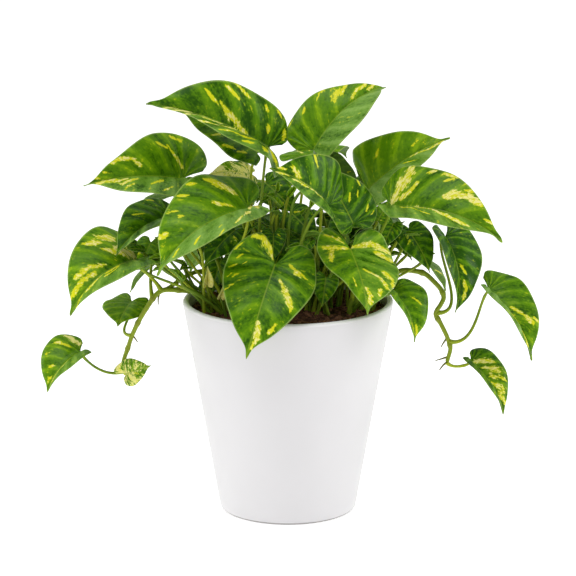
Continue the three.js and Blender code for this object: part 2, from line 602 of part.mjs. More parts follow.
const part = new THREE.Group();
part.name = "potted_pothos_plant";
addMesh(part, "pot", potGeometry(), 0xf2f2f0, 0.4);
addMesh(part, "soil", soilGeometry(), 0x3a2a1e, 0.95);
for (const name of Object.keys(STEMS)) {
  addMesh(part, name, stemNode(name), STEM_GREEN, 0.5);
}
for (const leaf of LEAVES) {
  addMesh(part, leaf.name, leafGeometry(leaf), GREEN, 0.4);
}

export default part;
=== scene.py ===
"""Potted pothos: finished leaves, stems, soil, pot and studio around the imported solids."""

import math

import bpy
import numpy as np
from mathutils import Color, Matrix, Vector


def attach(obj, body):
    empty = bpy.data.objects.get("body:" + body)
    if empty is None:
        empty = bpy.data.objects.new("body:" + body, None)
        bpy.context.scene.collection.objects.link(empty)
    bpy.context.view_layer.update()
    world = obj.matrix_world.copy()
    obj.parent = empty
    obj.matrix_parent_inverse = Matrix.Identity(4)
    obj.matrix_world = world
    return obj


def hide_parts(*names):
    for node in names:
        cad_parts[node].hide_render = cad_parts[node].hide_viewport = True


bl_info = {
    "name": "Potted pothos",
    "version": (1, 0, 0),
    "blender": (4, 5, 0),
    "location": "View3D > Sidebar > Pothos",
    "description": "Builds a potted pothos with variegated leaves, stems, soil and a small studio",
    "category": "Add Mesh",
}

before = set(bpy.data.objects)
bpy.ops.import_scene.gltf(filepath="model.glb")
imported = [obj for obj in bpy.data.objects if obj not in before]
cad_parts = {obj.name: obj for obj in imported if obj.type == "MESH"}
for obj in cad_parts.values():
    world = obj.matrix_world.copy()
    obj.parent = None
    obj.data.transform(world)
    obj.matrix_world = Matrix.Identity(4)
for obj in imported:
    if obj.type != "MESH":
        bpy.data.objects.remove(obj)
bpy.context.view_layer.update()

MM = 0.001

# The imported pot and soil, in millimetres. The soil stands this gap clear of the pot.
POT_TOP_RADIUS = 76
POT_FOOT_RADIUS = 49
POT_HEIGHT = 155
POT_WALL = 4.5
POT_FLOOR = 6
SOIL_TOP = 149
SOIL_GAP = 0.3

# Half of a flat leaf, from the inner edge of the lobe round to the tip.
# Each row: distance to the side, distance along the midrib, and the foot of that vein on the midrib.
HALF_LEAF = [
    (0.085, -0.125, 0),
    (0.165, -0.16, 0),
    (0.26, -0.135, 0),
    (0.34, -0.05, 0),
    (0.388, 0.08, 0),
    (0.39, 0.23, 0.06),
    (0.355, 0.38, 0.17),
    (0.29, 0.53, 0.31),
    (0.205, 0.68, 0.48),
    (0.115, 0.82, 0.66),
    (0.042, 0.93, 0.84),
    (0, 1, 1),
]
LEAF_HALF_WIDTH = 0.39
# How far out, and how far ahead of its foot, a side vein bends.
VEIN_OUT = 0.55
VEIN_AHEAD = 0.35
# Where along the leaf a fuller half starts to be wider.
FULL_FROM = 0.3
# Where the cupping of the base ends, and the length over which it grows.
CUP_START = 0.12
CUP_LENGTH = 0.24
# The waves of the edge: their height, and their turn from row to row and from leaf to leaf.
EDGE_WAVE = 0.014
WAVE_STEP = 1.9
WAVE_SHIFT = 1.7
# Steps of the midrib's curve.
RIB_STEPS = 96
# The edge is drawn in near the tip: how much, where, and over what length.
TIP_PINCH = 0.5
TIP_PINCH_AT = 0.93
TIP_PINCH_REACH = 0.1
# Relief of a blade: how far from the midrib it is full and how wide the rib is, in millimetres, and
# how much the rib narrows towards the tip and the blade thins towards its edge.
RELIEF_REACH = 7
RIB_WIDTH = 1.3
RIB_NARROWING = 0.8
EDGE_THINNING = 0.4
# The stalk: its radius under the blade and how far below the blade it ends, in millimetres.
STALK_TIP_RADIUS = 0.9
STALK_END_DROP = 1.1
# Its foot and its knee under the blade: how much they swell, and over what length.
FOOT_SWELL = 0.7
FOOT_REACH = 4
KNEE_SWELL = 0.25
KNEE_BEFORE = 6
KNEE_REACH = 3
# Its tail along the midrib: places on the rib with the drop below it, and how much it tapers.
STALK_TAIL = ((0.04, 0.85), (0.08, 0.7), (0.13, 0.55))
TAIL_TAPER = 0.7
# The joints of a stem: how much they swell, and over what length.
JOINT_SWELL = 0.3
JOINT_REACH = 1.8
# Where the random draws of the streaks, the crumbs and the young stalks start.
STREAK_SEED = 100
CRUMB_SEED = 7
STALK_SEED = 5
# The bed of soil: its sides and rings, and how far from the pot its relief fades, in millimetres.
BED_SIDES = 160
BED_RINGS = 44
BED_FADE = 6
# Its waves: length in millimetres, share of the height, and direction in radians.
BED_WAVES = ((31, 0.45, 0.4), (17, 0.3, 1.3), (8.3, 0.16, 2.2), (4.1, 0.1, 0.9))
# The steps of the pot's foot ring: how far in from the foot's edge, and how high.
FOOT_RING = ((9, 1.2), (7.6, 0.3), (6.6, 0))
# The kinds of tube, and how many patterns of fibres the tubes of one mesh share.
STALK, STEM, ROOT = 0, 1, 2
FIBRE_PATTERNS = 97
# Young leaves and shoots start this high, inside the soil.
YOUNG_FOOT = SOIL_TOP - 3

# What a leaf has unless its own row says otherwise. Pairs are for the left and the right half.
# arch bends the midrib and fold, curl and cup lift the halves, all in degrees. droop puts the bend
# nearer the tip, and sway bends the midrib sideways. wide, full and lobe size the halves. columns is 1
# for a small leaf, whose blade is coarser. stalk is the radius of the stalk, start is where it leaves
# its stem, a point or a height on an upright stem, and leave, rise, reach and ahead bend it. bloom is
# the half with painted sheen, a pale dull green that stands in for the sheen of the light, and its
# strength. A row may also give its tone, from about -1 for dark to 1 for light, and its cream, from 0
# to 1 for a leaf that is cream all over. The tones were set leaf by leaf, so besides each leaf's own
# green they hold painted shade on some leaves deep in the plant and painted light on some leaves that
# lie in shade.
LEAF_DEFAULTS = dict(
    arch=40, droop=1.3, sway=0, fold=(12, 12), curl=(-20, -20), cup=(0, 0), lobe=(1, 1), wide=(1, 1),
    full=(0, 0), columns=2, stalk=1.25, leave=(0, 0, 1), rise=0.4, reach=0.3, ahead=0.5, bloom=(0, 0),
)

# Name, stem, base and tip of the midrib in millimetres, the way the upper side looks, and the rest.
LEAF_ROWS = [
    ("leaf_top_left", "stem_centre_left", (-14, -6, 267), (-100, -15, 300), (0.18, -0.64, 0.75),
     dict(arch=40, fold=(44, 34), curl=(-12, -16), cup=(-25, 0), wide=(1.1, 0.88), full=(-0.2, 0.6),
          lobe=(0.5, 0.7), start=166, leave=(0, -0.4, 1), reach=0.12, tone=-0.6, bloom=(0, 0.25))),
    ("leaf_top_left_under", "stem_centre_left", (-22, 14, 259), (-79, 3, 292), (-0.1, -0.45, 0.9),
     dict(arch=35, fold=(4, 10), wide=(0.82, 1), full=(1, 0), lobe=(0.3, 1), start=164, leave=(0, 0.2, 1),
          tone=-0.3)),
    ("leaf_top_right", "stem_centre_right", (18, 5, 263), (70, 28, 304), (-0.5, -0.67, 0.55),
     dict(arch=70, fold=(22, 32), curl=(-16, -16), wide=(0.95, 1.2), full=(0, 1), lobe=(0.6, 0),
          start=162, tone=0.2, bloom=(1, 0.7))),
    ("leaf_centre", "stem_centre", (28, -46, 234), (-13, -64, 264), (0.3, -0.75, 0.6),
     dict(arch=60, fold=(40, 12), curl=(-14, -14), wide=(0.95, 1.4), full=(1, 0), lobe=(0.2, 1.2),
          start=154, leave=(0.3, -0.1, 1), tone=-0.9, bloom=(0, 0.2))),
    ("leaf_centre_behind", "stem_centre_right", (46, -25, 216), (19, -21, 258), (0.25, -0.82, 0.45),
     dict(arch=40, fold=(20, 10), wide=(0.7, 1.15), lobe=(0.4, 1.2), start=158, leave=(0.3, -0.1, 1),
          tone=-0.8)),
    ("leaf_left_upper", "stem_left", (-75, 8, 241), (-144, -28, 244), (0, -0.65, 0.77),
     dict(arch=35, fold=(30, 28), curl=(-14, -16), cup=(40, 0), wide=(1.1, 1.05), full=(0.9, -0.5),
          lobe=(0.2, 1.9), start=158, tone=0.2, bloom=(0, 0.5))),
    ("leaf_left_front", "stem_left", (-28, -38, 230), (-91, -75, 190), (-0.36, -0.66, 0.66),
     dict(arch=72, fold=(34, 20), wide=(0.95, 1.14), full=(0.9, 0), lobe=(0.15, 1.5), start=156,
          leave=(0.1, -0.3, 1), tone=0.15, bloom=(0, 0.75))),
    ("leaf_left_outer", "stem_trailing_left", (-108, -5, 185), (-154, -35, 151), (-0.39, -0.66, 0.64),
     dict(arch=80, fold=(34, 20), wide=(1.05, 1.4), full=(0, -0.2), lobe=(0.2, 1), start=(-91, -4, 162),
          leave=(-0.5, 0.2, 1), tone=0.1, bloom=(0, 0.3))),
    ("leaf_left_middle", "stem_left", (-85, 6, 214), (-122, -24, 192), (-0.35, -0.6, 0.7),
     dict(arch=60, fold=(36, 22), wide=(1.1, 1.1), lobe=(0.2, 1.3), start=154, leave=(-0.4, 0.3, 1),
          tone=-0.7, bloom=(0, 0.5))),
    ("leaf_left_behind", "stem_trailing_left", (-99, 20, 192), (-106, 6, 172), (-0.2, -0.8, 0.5),
     dict(arch=30, columns=1, start=(-97, -5, 156), leave=(-0.3, 0.5, 1))),
    # its light tone is partly painted light, on a leaf in the shade of the leaves above it
    ("leaf_vine_left_upper", "stem_trailing_left", (-113, 17, 149), (-122, -14, 138), (-0.1, -0.6, 0.8),
     dict(arch=25, fold=(6, 6), wide=(1.2, 1.45), full=(0.5, 0.4), lobe=(1.7, 2), columns=1, stalk=1,
          start=(-112, -5, 129), leave=(-1, 0.3, -0.1), rise=0.5, reach=0.5, tone=1.1)),
    ("leaf_vine_left_lower", "stem_trailing_left", (-149, -10, 118), (-172, -25, 92),
     (-0.47, -0.68, 0.56),
     dict(arch=70, fold=(36, 22), wide=(0.95, 1.45), lobe=(0.2, 1.3), columns=1, stalk=1,
          start=(-118, -4, 102), leave=(-1, -0.1, -0.4), rise=0.4, reach=0.4, tone=0.4, bloom=(0, 0.4))),
    ("leaf_vine_left_tip", "stem_trailing_left", (-116, -14, 103), (-98, -22, 111), (-0.2, -0.9, 0.3),
     dict(arch=20, fold=(10, 10), wide=(1.2, 1.2), lobe=(3, 1), columns=1, stalk=1, start=(-118, -4, 102),
          leave=(0.1, -0.3, -1), rise=0.3, reach=0.2, tone=0.3, cream=0.25)),
    ("leaf_front_left", "stem_centre", (-9, -52, 193), (-29, -92, 135), (0, -0.8, 0.6),
     dict(arch=45, fold=(6, 6), curl=(-14, -14), cup=(0, 45), wide=(1.08, 1.12), lobe=(1.9, 1.0),
          start=156, leave=(0, -0.1, 1), tone=-0.3)),
    ("leaf_front_right", "stem_centre_right", (44, -35, 200), (55, -90, 166), (0.3, -0.5, 0.85),
     dict(arch=30, droop=2, fold=(2, 6), curl=(-14, -14), cup=(24, 12), wide=(1.28, 0.98),
          full=(0.3, -0.3), lobe=(1.7, 1.7), start=150, leave=(0.6, -0.2, 1), tone=0.2, bloom=(0, 0.2))),
    ("leaf_right_upper", "stem_right", (57, 17, 231), (116, 12, 270), (-0.32, -0.65, 0.69),
     dict(arch=42, fold=(26, 28), curl=(-14, -14), cup=(-30, 0), wide=(1.05, 1.05), full=(0, 0.3),
          lobe=(0, 0), start=158, tone=0.9, bloom=(1, 0.8))),
    ("leaf_right_long", "stem_right", (72, -26, 229), (150, -54, 209), (0.18, -0.64, 0.74),
     dict(arch=65, droop=1.8, fold=(24, 34), curl=(-14, -16), cup=(0, 40), wide=(0.94, 0.75),
          full=(0.1, 1), lobe=(0.7, 0), start=156, leave=(0.2, 0.3, 1), tone=0, bloom=(1, 0.4))),
    ("leaf_right_lower", "stem_trailing_right", (113, 12, 198), (120, -6, 146), (0.6, -0.75, 0.25),
     dict(arch=70, fold=(20, 40), lobe=(1, 0.5), start=(107, 2, 144), leave=(1, 0.1, -0.1), rise=0.5,
          reach=0.35, tone=-1.2)),
    ("leaf_right_rim", "stem_right", (74, -40, 171), (89, -58, 138), (0.55, -0.7, 0.42),
     dict(arch=65, fold=(18, 46), wide=(1.3, 1.2), lobe=(1, 0.4), columns=1, start=150,
          leave=(0.6, -0.4, 1), tone=0)),
    ("leaf_vine_right_upper", "stem_trailing_right", (144, 5, 160), (174, -20, 114), (0.5, -0.7, 0.5),
     dict(arch=65, fold=(22, 48), wide=(0.97, 0.62), full=(0, 0.5), lobe=(1.4, 0.1), start=(116, 0, 123),
          leave=(1, 0, -0.2), rise=0.45, reach=0.35, tone=0, bloom=(1, 0.8))),
    ("leaf_vine_right_lower", "stem_trailing_right", (132, 0, 108), (155, -15, 72), (0.52, -0.7, 0.48),
     dict(arch=60, fold=(20, 50), wide=(1, 0.9), lobe=(1, 0.1), columns=1, stalk=1,
          start=(114.5, -2, 108), leave=(0.6, -0.1, -0.8), rise=0.35, reach=0.35, tone=-0.4)),
    ("leaf_inner_right_low", "stem_right", (86, 0, 205), (101, -16, 178), (0.4, -0.7, 0.6),
     dict(arch=35, fold=(20, 6), lobe=(1, 0.5), columns=1, start=152, leave=(0.6, 0.1, 1), tone=-0.9)),
    ("leaf_inner_right_back", "stem_back_right", (79, 14, 201), (89, 9, 181), (0.3, -0.8, 0.5),
     dict(arch=20, columns=1, start=160, leave=(0.6, -0.1, 1), tone=-0.9)),
    ("leaf_inner_olive", "stem_right", (64, -11, 215), (72, -13, 231), (0, -0.9, 0.2),
     dict(arch=10, lobe=(0.6, 0.6), columns=1, stalk=0.9, start=156, tone=-0.2)),
    ("leaf_inner_notch", "stem_right", (75, -8, 212), (67, -13, 195), (0, -0.8, 0.5),
     dict(arch=20, columns=1, start=154, leave=(0.5, -0.2, 1))),
    ("leaf_top_middle_behind", "stem_back_right", (28, 42, 246), (52, 32, 226), (0.2, 0.8, 0.6),
     dict(arch=30, wide=(1.1, 1.1), columns=1, start=158, tone=-0.9)),
    # its cream, here and in its streaks, is partly its own and partly painted light on a leaf in the
    # shade of the leaves above it
    ("leaf_cream", "stem_centre_left", (-27, 35, 239), (-58, 20, 241), (0, -0.5, 0.85),
     dict(arch=35, wide=(0.95, 0.95), lobe=(0.4, 1), columns=1, start=162, leave=(-0.1, 0.6, 1), tone=0.3,
          cream=0.6)),
    ("leaf_inner_middle", "stem_back", (-16, 49, 229), (7, 37, 208), (0, -0.8, 0.6),
     dict(arch=30, columns=1, start=158)),
    ("leaf_inner_low", "stem_centre_right", (27, -22, 176), (24, -38, 158), (0, -0.8, 0.6),
     dict(arch=20, columns=1, stalk=0.9, start=148, leave=(0.3, -0.5, 1))),
    ("leaf_inner_left", "stem_left", (-38, 2, 205), (-60, -20, 183), (-0.3, -0.7, 0.6),
     dict(arch=30, columns=1, start=158, leave=(0.2, 0.3, 1))),
    ("leaf_inner_centre_high", "stem_back", (2, 23, 213), (21, 6, 195), (0.1, -0.8, 0.6),
     dict(arch=35, columns=1, start=158, leave=(0, -0.3, 1))),
    ("leaf_inner_centre_right", "stem_centre_right", (12, 21, 191), (33, 9, 172), (0.2, -0.8, 0.5),
     dict(arch=35, columns=1, start=156, leave=(-0.3, 0.5, 1))),
    ("leaf_inner_centre_left", "stem_centre", (-2, 6, 195), (-15, -10, 166), (-0.1, -0.8, 0.5),
     dict(arch=35, columns=1, start=156, leave=(0.1, 0.5, 1))),
    ("leaf_inner_left_low", "stem_trailing_left", (-48, 12, 181), (-55, 0, 157), (-0.3, -0.8, 0.5),
     dict(arch=30, columns=1, stalk=1, start=(-54, 18, 165), leave=(0.2, 0, 1))),
    ("leaf_inner_right_mid", "stem_centre_right", (42, 9, 210), (31, -2, 187), (0.1, -0.8, 0.5),
     dict(arch=30, columns=1, start=160, leave=(0.4, 0.1, 1))),
    ("leaf_inner_centre_low", "stem_back", (16, 30, 178), (1, 12, 158), (0, -0.8, 0.5),
     dict(arch=30, columns=1, start=154, leave=(0.3, -0.4, 1))),
    ("leaf_back_01", "stem_back_left", (-50, 46, 222), (-112, 72, 200), (-0.3, 0.4, 0.8),
     dict(arch=45, sway=-0.07, start=160, leave=(-0.2, 0.1, 1))),
    ("leaf_back_02", "stem_back_left", (-42, 62, 190), (-74, 104, 146), (-0.4, 0.7, 0.5),
     dict(arch=50, start=158, leave=(-0.2, 0.6, 1))),
    ("leaf_back_03", "stem_back_left", (-30, 50, 258), (-66, 88, 272), (-0.3, 0.5, 0.8),
     dict(arch=50, sway=0.08, start=160, leave=(0, 0.2, 1))),
    ("leaf_back_04", "stem_back_left", (-66, 40, 186), (-116, 46, 148), (-0.7, 0.3, 0.6),
     dict(arch=45, start=156, leave=(-0.6, 0.1, 1))),
    ("leaf_back_05", "stem_back", (-6, 71, 223), (-26, 132, 194), (-0.1, 0.6, 0.8),
     dict(arch=50, sway=-0.08, start=158, leave=(0, 0.2, 1))),
    ("leaf_back_06", "stem_back", (12, 77, 184), (18, 110, 130), (0, 0.8, 0.5),
     dict(arch=45, start=156, leave=(0.1, 0.6, 1))),
    ("leaf_back_07", "stem_back", (12, 60, 246), (44, 106, 236), (0.2, 0.5, 0.8),
     dict(arch=50, sway=0.07, start=158, leave=(0.1, 0.1, 1))),
    ("leaf_back_08", "stem_back_right", (48, 56, 204), (84, 96, 166), (0.4, 0.6, 0.6),
     dict(arch=50, start=156, leave=(0.2, 0.5, 1))),
    ("leaf_back_09", "stem_back_right", (56, 40, 232), (112, 66, 218), (0.3, 0.3, 0.9),
     dict(arch=45, sway=-0.06, start=160, leave=(0.2, 0, 1))),
    ("leaf_back_10", "stem_back_right", (76, 36, 186), (116, 58, 146), (0.7, 0.3, 0.6),
     dict(arch=45, sway=0.08, start=154, leave=(0.7, 0.1, 1))),
    ("leaf_back_11", "stem_back", (-20, 84, 196), (-44, 116, 150), (-0.2, 0.8, 0.5),
     dict(arch=40, columns=1, start=154, leave=(-0.3, 0.8, 1))),
]

# Streaks on a blade. Each one: from (side, along) to (side, along) in hundredths of the leaf's length,
# half its width in the same unit, and how creamy it is: yellow-green at 0 and all cream above 1. Side is
# below 0 on the left half. A leaf that isn't named here gets drawn streaks.
STREAKS = {
    "leaf_top_left": [
        (1, 22, 10, 41, 3, 0.9), (6, 32, 15, 48, 2, 0.8), (24, 35, 28, 48, 1.5, 0.7),
        (36, 52, 34, 40, 1.8, 0.6), (34, 39, 31, 29, 1.8, 0.7), (13, 51, 19, 60, 1.3, 0.5),
        (12, 6, 19, 8, 1.5, 0.4), (33, 0, 37, 6, 1.2, 0.5), (30, 12, 35, 16, 1.2, 0.5),
        (15, -8, 25, -6, 2, 0.3), (-1, 30, -12, 44, 1.8, 0.9), (-2, 42, -16, 58, 2, 1.1),
        (-2, 54, -18, 70, 2.4, 1.3), (-2, 66, -14, 80, 2.4, 1.3), (-1, 76, -8, 90, 2.6, 1.3),
        (-18, 46, -26, 62, 1.6, 1.1), (-20, 36, -28, 46, 1.2, 0.8), (-16, 30, -22, 40, 1.4, 0.6),
        (-2, 12, -16, 26, 3.2, 0.4), (-6, 2, -20, -2, 4, 0.3), (-14, 8, -26, 12, 3, 0.3),
        (-22, -8, -14, -12, 3, 0.9), (-24, 22, -30, 30, 2, 0.4),
    ],
    "leaf_top_left_under": [
        (-20, 14, -27, 26, 1.8, 0.5), (-24, 28, -28, 44, 1.8, 0.5), (-14, 50, -20, 58, 1.5, 0.7),
    ],
    "leaf_top_right": [
        (-13, 48, -20, 57, 4, 0.6), (-15, 57, -20, 66, 2.5, 0.6), (-3, 60, -9, 72, 2, 0.8),
        (-7, 74, -10, 84, 2, 0.7), (-27, 38, -31, 44, 1.5, 0.5), (-30, 22, -33, 28, 1.5, 0.4),
        (-36, 5, -38, 12, 1, 0.4), (-31, 46, -33, 52, 1.4, 0.5), (-3, 80, -6, 92, 2, 0.8),
    ],
    "leaf_left_upper": [
        (10, 43, 18, 50, 2, 0.8), (18, 50, 21, 62, 2.5, 0.9), (20, 60, 17, 70, 2, 0.8),
        (30, -2, 36, 8, 1.5, 0.5), (9, 0, 19, 9, 2.2, 0.8), (19, 9, 27, 14, 1.5, 0.5),
        (-2, 70, -3, 88, 2.5, 0.8), (3, 84, 5, 90, 1.5, 0.7), (-12, 30, -18, 45, 2, 0.5),
        (-5, 52, -11, 70, 2, 0.9), (-3, 60, -6, 76, 1.4, 0.9), (-13, 58, -17, 70, 1.4, 0.8),
        (-24, 26, -28, 40, 1.3, 0.7), (6, 72, 10, 84, 1.2, 0.5), (24, 14, 30, 26, 1.2, 0.4),
    ],
    "leaf_left_front": [
        (12, 3, 22, 8, 3, 0.9), (20, 8, 30, 14, 3, 0.7), (30, 14, 34, 17, 2, 0.6),
        (4, 14, 13, 26, 1.5, 0.8), (27, 36, 31, 42, 1.5, 0.5), (12, 70, 14, 76, 1.8, 0.6),
        (14, 52, 16, 55, 1.2, 0.5), (-8, -4, -22, 4, 3, 1.1), (-22, 14, -27, 20, 2.2, 1),
        (-5, 72, -8, 80, 1.5, 0.6), (4, 14, 12, 24, 1.4, 0.7), (33, 26, 36, 32, 1.6, 0.5),
        (20, 52, 24, 58, 1.2, 0.5), (-10, 4, -17, 10, 2.2, 1), (-27, 24, -31, 34, 1.6, 0.9),
        (-29, 44, -31, 52, 1, 0.6), (-15, 58, -18, 66, 1, 0.5), (-22, 40, -23, 46, 0.9, 0.4),
    ],
    "leaf_left_outer": [
        (22, 8, 31, 18, 3.6, 0.9), (24, 22, 32, 34, 3, 0.8), (3, 2, 12, 12, 5, 1.2),
        (8, 12, 18, 26, 3, 0.9), (12, -8, 20, -3, 3.4, 1.2), (5, 36, 11, 52, 2.4, 0.8),
        (10, 50, 13, 66, 2.6, 0.8), (4, 50, 8, 68, 2.2, 0.7), (6, 66, 7, 84, 2.6, 0.7),
        (-3, 48, -6, 70, 2.6, 0.8), (-2, 22, -6, 46, 2.2, 0.6), (-8, 30, -13, 50, 1.8, 0.6),
        (-2, 74, -4, 88, 2, 0.6),
    ],
    "leaf_left_middle": [(14, 30, 22, 44, 1.5, 0.6), (30, 0, 36, 8, 1.5, 0.5)],
    "leaf_centre": [
        (2, 60, 9, 74, 2.5, 0.8), (-2, 10, -3, 60, 1.5, 0.7), (-8, 20, -8, 70, 2.5, 1),
        (20, 42, 28, 52, 2, 0.5), (-3, 75, -4, 92, 2, 0.9), (4, 80, 3, 90, 1.5, 0.8),
    ],
    "leaf_centre_behind": [
        (8, 30, 14, 40, 1.5, 0.3), (22, 4, 28, 12, 1.4, 0.3), (20, 30, 25, 38, 1.2, 0.4),
        (30, 40, 31, 50, 1.2, 0.3), (26, -4, 32, 0, 1.2, 0.4),
    ],
    "leaf_front_left": [
        (-8, 16, -13, 24, 1.5, 0.7), (-13, 24, -20, 33, 3.2, 0.9), (-20, 33, -25, 43, 2.5, 0.9),
        (-25, 43, -26, 49, 1.5, 0.7), (-13, -1, -20, 4, 1.5, 0.6), (-19, 5, -24, 7, 3, 0.8),
        (-24, 5, -30, 9, 2, 0.6), (-1, 64, -4, 72, 2.5, 0.9), (-4, 72, -4, 82, 3.2, 1),
        (-3, 82, -2, 90, 1.5, 0.8), (-17, 62, -13, 72, 2.2, 0.8), (4, -4, 12, -9, 3, 0.7),
        (12, -9, 20, -12, 3.5, 0.7), (20, -12, 30, -9, 2, 0.5), (30, 12, 36, 18, 1.5, 0.5),
        (28, 4, 32, 8, 0.8, 0.3), (34, -2, 36, 3, 0.8, 0.3), (26, 22, 31, 28, 0.7, 0.3),
        (32, 24, 35, 30, 0.7, 0.3), (28, 34, 32, 40, 0.6, 0.3), (22, 8, 26, 12, 0.6, 0.3),
    ],
    "leaf_front_right": [
        (-2, -2, -15, -4, 2.6, 0.8), (-15, -4, -26, -2, 3.6, 0.9), (-26, 0, -36, 4, 3.6, 0.9),
        (-22, 5, -30, 9, 2.8, 0.8), (-30, 9, -38, 12, 2.6, 0.8), (-5, 36, -12, 44, 2.6, 0.8),
        (-12, 44, -18, 54, 3, 0.9), (-18, 54, -19, 64, 2.6, 0.8), (-22, 38, -27, 48, 2.6, 0.8),
        (-27, 48, -26, 60, 2.2, 0.8), (-2, 66, -4, 76, 2, 0.9), (-4, 76, -3, 86, 2.5, 0.9),
        (-13, 66, -11, 76, 1.8, 0.7), (8, -4, 18, -10, 3, 0.8), (18, -10, 26, -12, 2.8, 0.7),
        (3, 2, 16, 6, 2, 0.7), (16, 6, 32, 8, 3, 0.8), (24, 14, 28, 26, 2.6, 0.7),
        (12, 54, 10, 66, 1.5, 0.6),
    ],
    "leaf_right_upper": [
        (-18, 26, -24, 34, 1.6, 0.3), (-7, 62, -10, 70, 1.2, 0.3), (-6, 72, -9, 78, 1, 0.3),
        (2, 56, 5, 74, 1.5, 0.9), (5, 74, 3, 92, 1.6, 0.9), (8, 48, 12, 62, 1.1, 0.6),
    ],
    "leaf_right_long": [
        (-4, 2, -14, 4, 3.4, 1), (-14, 4, -26, 8, 5, 1), (-26, 8, -36, 10, 3.4, 0.9),
        (-6, 8, -14, 14, 2.4, 0.8), (-14, 14, -23, 18, 2.2, 0.7), (-33, 24, -36, 30, 1.8, 0.8),
        (-33, 36, -31, 52, 1.4, 0.7), (-29, 56, -24, 70, 1.8, 0.9), (-19, 74, -13, 84, 1.6, 0.8),
        (-12, 44, -17, 52, 3, 0.9), (-17, 52, -19, 62, 4, 1), (-18, 62, -16, 72, 3, 0.9),
        (-26, 40, -28, 44, 1.2, 0.5), (-22, 57, -24, 62, 1.5, 0.7), (-6, 78, -7, 88, 1.5, 0.8),
        (1, 16, 4, 36, 2.4, 0.9), (4, 36, 10, 54, 3.4, 1), (10, 54, 13, 70, 2.8, 0.9),
        (7, 12, 14, 30, 1.2, 0.6), (14, 30, 18, 42, 1.1, 0.6),
    ],
    "leaf_right_lower": [
        (-4, 40, -10, 52, 1.8, 0.6), (-6, 60, -8, 72, 2, 0.7), (-7, 72, -5, 82, 2, 0.7),
    ],
    "leaf_right_rim": [
        (8, 56, 4, 84, 2, 0.4), (-15, 24, -21, 44, 1.5, 0.4), (-4, 70, -3, 90, 2, 0.5),
    ],
    "leaf_vine_right_upper": [
        (-4, 34, -12, 50, 2.5, 0.8), (-12, 50, -16, 62, 3, 0.9), (-20, 56, -24, 66, 2, 0.7),
        (6, 10, 8, 80, 6, 0.6),
    ],
    "leaf_vine_right_lower": [
        (-4, 4, -28, 20, 5, 1), (-6, 20, -28, 36, 4.4, 0.9), (-5, 34, -24, 52, 3.8, 0.8),
        (-4, 50, -17, 68, 4.2, 0.9), (-3, 66, -9, 86, 3.8, 0.8), (4, 20, 7, 70, 2, 0.6),
    ],
    "leaf_vine_left_lower": [
        (12, -10, 30, -4, 6, 1.3), (10, 6, 22, 14, 2, 0.6), (25, 12, 31, 26, 3, 0.8),
        (24, 32, 27, 46, 2, 0.6), (9, 52, 15, 66, 2, 0.6), (-2, 8, -6, 46, 3, 0.9),
        (-3, 46, -5, 80, 3, 0.8), (3, 70, 5, 84, 2, 0.7),
    ],
    "leaf_vine_left_upper": [],
    "leaf_vine_left_tip": [
        (-8, -20, -30, -25, 12, 1), (8, 10, 24, 24, 4, 0.9), (4, 30, 14, 55, 3, 0.8),
    ],
    # cream above 1: partly painted light on this leaf in the shade of the leaves above it
    "leaf_cream": [
        (-12, 76, 12, 76, 25, 1.7), (-26, 36, -6, 20, 7, 1.7), (26, 36, 6, 20, 7, 1.7),
        (-30, 12, -8, 2, 4, 0.9), (30, 12, 8, 2, 4, 0.9),
    ],
}

# What the tone of a leaf is drawn from and how creamy it is, by the start of its name. The inner
# leaves and the young leaves that are not rolled are drawn darker: painted shade in the middle of the
# plant.
TONES = (
    ("young_roll", 0.4, 1.6, 0.1), ("young_pale", -1.1, -0.3, 1.3), ("young_leaf", -1.1, -0.3, 0),
    ("leaf_inner", -1.1, -0.3, 0), ("leaf", -0.5, 0.2, 0),
)

# Young leaves in front come forward by this share only, and all stand this far right and back.
YOUNG_FRONT = 0.4
YOUNG_SHIFT = np.array([0, 9])
# How far the feet of a clump of shoots spread, right and back, in millimetres.
CLUMP_FOOT = np.array([8, 7])
# Clumps of shoots: middle of the feet and of the tops, spread of the tops, and the number of shoots.
CLUMPS = [
    ((-53, -13), (-86, -14, 188), (24, 14, 14), 12), ((53, -4), (80, 0, 190), (16, 12, 16), 9),
    ((-6, -4), (-8, 6, 224), (28, 12, 12), 14), ((22, -16), (24, -13, 186), (18, 7, 12), 7),
    ((12, 4), (20, 12, 186), (10, 8, 14), 8),
]
# Base and tip of the pale rolled leaves near the left rim, in millimetres.
PALE_ROLLS = [
    ((-58, -18, 170), (-57, -21, 184)), ((-48, -30, 164), (-45, -34, 174)),
    ((-38, -30, 176), (-33, -36, 187)),
]

# The lower end of every stem in the soil and the height up to which it stands upright, in millimetres.
STEM_FOOT = 131.5
STEM_NECK = 151
